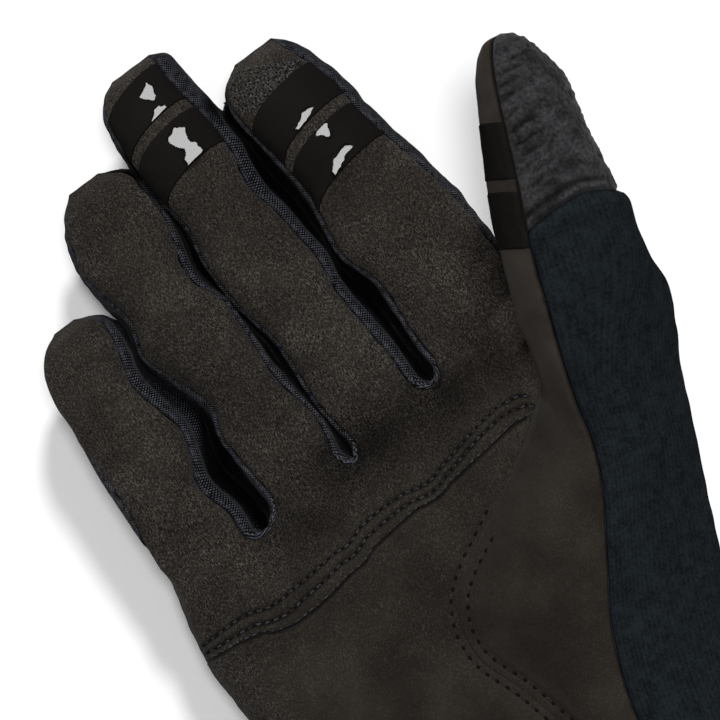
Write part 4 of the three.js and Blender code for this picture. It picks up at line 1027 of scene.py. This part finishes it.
# Flats in the print's surface that mirror the softbox. Each has one or more shapes, with convex corners
# in millimetres, clockwise.
FLATS = {
    "middle_grip_upper": (
        (((1.7, 87.3), (2.5, 86.0), (1.0, 82.6), (-1.7, 85.4)),),
        (((-3.6, 78.6), (-0.4, 81.7), (2.4, 81.4), (2.4, 80.1), (0, 79.0)),)),
    "middle_grip_lower": (
        (((-2.4, 74.5), (0.9, 76.4), (2.7, 74.9), (2.2, 72.0), (0.2, 70.6), (-1.5, 72.2)),
         ((1.9, 73.6), (3.4, 68.6), (2.4, 68.0), (-2.8, 67.0), (0, 71.8))),),
    "index_grip_upper": (
        (((20.6, 60.9), (22.7, 62.0), (25.3, 63.1), (26.4, 62.2), (24.6, 61.0), (21.3, 59.9)),),),
    "index_grip_lower": (
        (((23.2, 57.2), (25.6, 58.8), (27.0, 57.8), (26.2, 54.8), (24.8, 55.4)),),
        (((20.9, 49.2), (23.2, 50.8), (27.0, 52.2), (28.2, 50.9), (25.2, 49.4), (21.6, 47.6)),))}


def printed_silicone():
    """Printed silicone: black and satiny, and glossy where the wet print pooled flat."""
    material, add, shader = new_material("printed silicone", 0.45, 0.15, base="#131211")
    pooled = add("Attribute pooled", out="Fac")
    wet = add("MapRange", {"Value": pooled, "From Min": 0.35, "From Max": 0.65})
    feed(shader, {"Roughness": add("Math MULTIPLY_ADD", [wet, -0.38, 0.46]),
                  "Specular IOR Level": add("Math MULTIPLY_ADD", [wet, 0.27, 0.1])})
    return material


def surface_tree(objects):
    corners, faces = [], []
    for obj in objects:
        faces += [[v + len(corners) for v in f.vertices] for f in obj.data.polygons]
        corners += [tuple(v.co) for v in obj.data.vertices]
    return BVHTree.FromPolygons(corners, faces)


def unit(way):
    """Each direction at length 1."""
    return way / np.maximum(np.linalg.norm(way, axis=-1, keepdims=True), 1e-9)


def flatten(places, shapes, inland):
    """Levels the places within the shapes, so that they mirror the softbox to the camera. Gives back how
    far each place was levelled."""
    inside = np.full(places.shape[:2], -9.0)
    for corners in shapes:
        within = np.full(places.shape[:2], 9.0)
        for a, b in zip(corners, corners[1:] + corners[:1]):
            inward = unit(np.array([b[1] - a[1], a[0] - b[0]]))
            within = np.minimum(within, (places[..., :2] - a) @ inward)
        inside = np.maximum(inside, within)
    inside += 0.5 * waves_at(places.reshape(-1, 3) * MM, 1.3, 31.0).reshape(inside.shape)
    weight = smooth(inside / 0.3 + 0.7) * smooth((inland - 0.05) / 0.12)
    centre = places[weight > 0.5].mean(0)
    half = unit(unit(EYE - centre) + unit(GLINT_WAY))
    level = centre[2] - ((places[..., :2] - centre[:2]) @ half[:2]) / half[2]
    level += max(float(np.max((places[..., 2] - level)[weight > 0.3])) - 0.22, 0)
    places[..., 2] = lerp(places[..., 2], level, weight)
    return weight


def bar(name, material, skin, way, start, length, lean, bow, thick, rows, across):
    """A bar on the skin (rows, columns, 3), printed on the suede below it: start is how far along way
    it begins at the first column, lean how much further it begins at the last, and bow how far its
    middle arches along way."""
    normal = unit(np.cross(np.gradient(skin, axis=1), np.gradient(skin, axis=0)))
    columns = skin.shape[1]
    run = np.linspace(0, 1, rows)
    inland = np.minimum(run, 1 - run)[:, None] * length
    places = np.zeros((rows, across, 3))
    for j, s in enumerate(np.linspace(0.004, 0.996, across)):
        i, t = int(s * (columns - 1)), s * (columns - 1) % 1
        line, up = lerp(skin[:, i], skin[:, i + 1], t), lerp(normal[:, i], normal[:, i + 1], t)
        reach = start + lean * s + 4 * bow * s * (1 - s) + run * length
        along = line[:, :2] @ way
        inner = places_at(reach, along, line)
        outward = unit(places_at(reach, along, up))
        edge = np.clip(np.minimum(inland[:, 0] / 0.3, math.sin(math.pi * s) * 2), 0, 1)
        rise = np.sqrt(1 - (1 - edge) ** 2) * thick
        for k in range(rows):
            over = Vector((inner[k] + PROBE * outward[k] + SHIFT) * MM)
            hit = suede_tree.ray_cast(over, Vector(-outward[k]), PROBE_REACH * MM)[0]
            ground = inner[k] if hit is None else np.array(hit) / MM - SHIFT
            places[k, j] = ground + outward[k] * rise[k]
    pooled = np.zeros(places.shape[:2])
    for shapes in FLATS.get(name, ()):
        pooled = np.maximum(pooled, flatten(places, shapes, inland))
    cloth = grid(name + "_bar", places)
    keep_value(cloth, "pooled", pooled.reshape(-1))
    return finished(cloth, name, material, BAR_WALL)


silicone = printed_silicone()
suede_tree = surface_tree([palm_upper, thumb_suede])
finger_way = np.array([0.0, 1.0])
thumb_way = np.array([math.sin(math.radians(36)), math.cos(math.radians(36))])
pad = np.concatenate([thumb_inner, thumb_front[:, 1:]], axis=1)
pad_end = float(np.max(thumb_front[-1, 0, :2] @ thumb_way)) - THUMB_BARE
middle_end, index_end = MIDDLE["length"] - MIDDLE_BARE, INDEX["length"] - INDEX_BARE
for name, skin, way, end, length, *form in (
        ("middle", MIDDLE["front"], finger_way, middle_end, FINGER_BAR, 4.5, 2.3, 0.35, 72, 120),
        ("index", INDEX["front"], finger_way, index_end, FINGER_BAR, 5.2, 2.3, 0.35, 72, 120),
        ("thumb", pad, thumb_way, pad_end, THUMB_BAR, 0, 0, 0.2, 40, 56)):
    bar(name + "_grip_upper", silicone, skin, way, end - length, length, *form)
    bar(name + "_grip_lower", silicone, skin, way, end - 2 * length - BAR_SPACE, length, *form)

# Stitching: blue-grey polyester thread, 1.9 mm to a stitch, in three rows along the heel's seam, two
# round the ball of the thumb, and zig-zag rows worked over the index fingertip. Each needle hole is a
# small dimple drawn into the suede with a dark lens of painted shade laid in it, and the gaps in the
# zig-zag rows hold the same dark lenses.

THREAD_WIDTH, THREAD_RISE = 0.38, 0.3
ZIGZAG_ROWS, ZIGZAG_PITCH = 9, 0.85


def twisted_thread(name, dark, light):
    """Twisted filament thread: a soft gloss on blue-black, its plies too fine to draw."""
    material, add, shader = new_material(name, 0.6, 0.2, 0.05)
    place = add("TexCoord", out="Object")
    ply = add("TexNoise", {"Vector": place, "Scale": 1000 / 0.5, "Detail": 1.0})
    feed(shader, {"Base Color": add("ValToRGB", [ply], stops=((0.4, dark), (0.62, light)))})
    return material


def stations(line, pitch, first):
    """Evenly spaced places and directions along a line (points, 2), from this share of a pitch on."""
    run = running(np.linalg.norm(np.diff(line, axis=0), axis=1))
    at = np.arange(first * pitch, run[-1], pitch)
    ahead, back = places_at(at + 0.2, run, line), places_at(at - 0.2, run, line)
    return places_at(at, run, line), ahead - back


def sewn(name, lines, length, material, width=THREAD_WIDTH, tilt=0.0):
    """One stitch modelled once and copied to every station of the lines, on the cloth below them."""
    bpy.ops.mesh.primitive_uv_sphere_add(segments=8, ring_count=6, radius=1)
    model = bpy.context.object
    model.scale = (length / 2 * MM, width / 2 * MM, THREAD_RISE / 2 * MM)
    bpy.ops.object.transform_apply(location=False, rotation=False, scale=True)
    copies = []
    for places, ways in lines:
        for k, (place, way) in enumerate(zip(places, ways)):
            over = Vector((*((place + SHIFT[:2]) * MM), 0.2))
            hit, normal, _, _ = suede_tree.ray_cast(over, Vector((0, 0, -1)))
            if hit is None or normal.z < 0.1:
                continue
            turn = tilt * (-1 if k % 2 else 1)
            c, s = math.cos(turn), math.sin(turn)
            ahead = Vector((way[0] * c - way[1] * s, way[0] * s + way[1] * c, 0))
            ahead = (ahead - normal * ahead.dot(normal)).normalized()
            basis = Matrix((ahead, normal.cross(ahead), normal)).transposed().to_4x4()
            copy = model.copy()
            copy.data = model.data.copy()
            copy.data.transform(Matrix.Translation(hit + normal * 0.04 * MM) @ basis)
            bpy.context.collection.objects.link(copy)
            copies.append(copy)
    bpy.data.objects.remove(model)
    return finished(joined(name, copies), None, material, 0)


thread = twisted_thread("sewing thread", "#17181a", "#373a3f")
worn_thread = twisted_thread("worn thread", "#1a1b1c", "#27282a")
# Near black: painted shade in the needle holes and in the zig-zag rows' gaps.
hole = new_material("needle hole", 1.0, 0.0, base="#0f0f0f")[0]
suede_tree = surface_tree([palm_upper, palm_heel, thumb_suede])
# The needle holes are lenses of painted shade.
for name, rows, pitch, first, *stitch in (
        ("stitches_seam", seam_rows, STITCH_PITCH, 0.5, STITCH, thread),
        ("stitches_thenar", thenar_rows, THENAR_PITCH, 0.5, THENAR_STITCH, worn_thread),
        ("needle_holes_seam", seam_rows[:2], STITCH_PITCH, 1.0, 0.85, hole, 0.65),
        ("needle_holes_thenar", thenar_rows, THENAR_PITCH, 1.0, 1.1, hole, 0.8)):
    sewn(name, [stations(row, pitch, first) for row in rows], *stitch)
chance = np.random.default_rng(5)
zigzag, gaps = [], []
for k in range(ZIGZAG_ROWS):
    reach = np.linspace(0.04, 0.96 - 0.05 * k, 30)
    level = 78.6 - 1.0 * k - 5.5 * (reach - 0.35) ** 2 - 5 * reach
    left_x, right_x = side_at(INDEX, "seamL", level), side_at(INDEX, "seamR", level)
    line = np.stack([lerp(left_x, right_x, reach), level], axis=1)
    for kept, first in ((zigzag, 0.5), (gaps, 1.0)):
        places, ways = stations(line, ZIGZAG_PITCH, first)
        places = places + chance.normal(0, 0.16, places.shape)
        kept.append((places, ways + chance.normal(0, 0.12, ways.shape)))
pale_thread = twisted_thread("pale sewing thread", "#1d1e1f", "#46484a")
sewn("stitches_index", zigzag, 0.95, pale_thread, 0.4, math.radians(42))
# Lenses of painted shade in the zig-zag rows' gaps.
sewn("thread_gap_shade_index", gaps, 0.45, hole, 0.36)

# Floor, camera and light: a plain white table, the camera straight above, a soft lamp overhead, a key
# that lays the glove's soft shadow at its lower left, a weak fill from the left that is kept off the
# table, and a softbox that only glosses mirror.

bpy.ops.mesh.primitive_plane_add(size=60, location=(0, 0, -0.0002))
floor = bpy.context.object
floor.name = "floor"
floor.data.materials.append(new_material("floor", 0.9, 0.1, base="#f2f2f2")[0])
floor.visible_glossy = False

ROLL, SENSOR, LENS = math.radians(36.8), 36, 168
camera_data = bpy.data.cameras.new("camera")
camera = bpy.data.objects.new("camera", camera_data)
bpy.context.collection.objects.link(camera)
camera_data.sensor_width, camera_data.lens = SENSOR, LENS
camera.location = (EYE + SHIFT * (1, 1, 0)) * MM
camera.rotation_euler = (0, 0, -ROLL)
camera_data.clip_end = 100
bpy.context.scene.camera = camera


def lamp(name, place, strength, angle):
    """A far lamp that shines from the direction of place, an (x, y, z)."""
    data = bpy.data.lights.new(name, "SUN")
    data.energy = strength
    data.angle = math.radians(angle)
    obj = bpy.data.objects.new(name, data)
    obj.location = place
    obj.rotation_euler = Vector(place).to_track_quat("Z", "Y").to_euler()
    bpy.context.collection.objects.link(obj)
    return obj


overhead = lamp("overhead", (0.1, 0.05, 1), 1.7, 17)
key = lamp("key", (0.68, 0.74, 0.85), 2.4, 9)
softbox = lamp("softbox", GLINT_WAY, 0.2, 7)
fill = lamp("fill", (-0.90, 0.30, 0.62), 0.9, 40)
overhead.visible_glossy = key.visible_glossy = fill.visible_glossy = softbox.visible_diffuse = False
unlit = bpy.data.collections.new("not_lit_by_fill")
unlit.objects.link(floor)
unlit.collection_objects[0].light_linking.link_state = "EXCLUDE"
fill.light_linking.receiver_collection = unlit
passed = bpy.data.collections.new("passed_by_key")
for piece in (thumb_terry, thumb_suede, thumb_stretch):
    passed.objects.link(piece)
for child in passed.collection_objects:
    child.light_linking.link_state = "EXCLUDE"
key.light_linking.blocker_collection = passed
world = bpy.data.worlds.new("world")
bpy.context.scene.world = world
world.use_nodes = True
feed(world.node_tree.nodes["Background"], {"Color": (1, 1, 1, 1), "Strength": 0.18})
world.cycles_visibility.glossy = False
bpy.context.scene.view_settings.view_transform = "Standard"
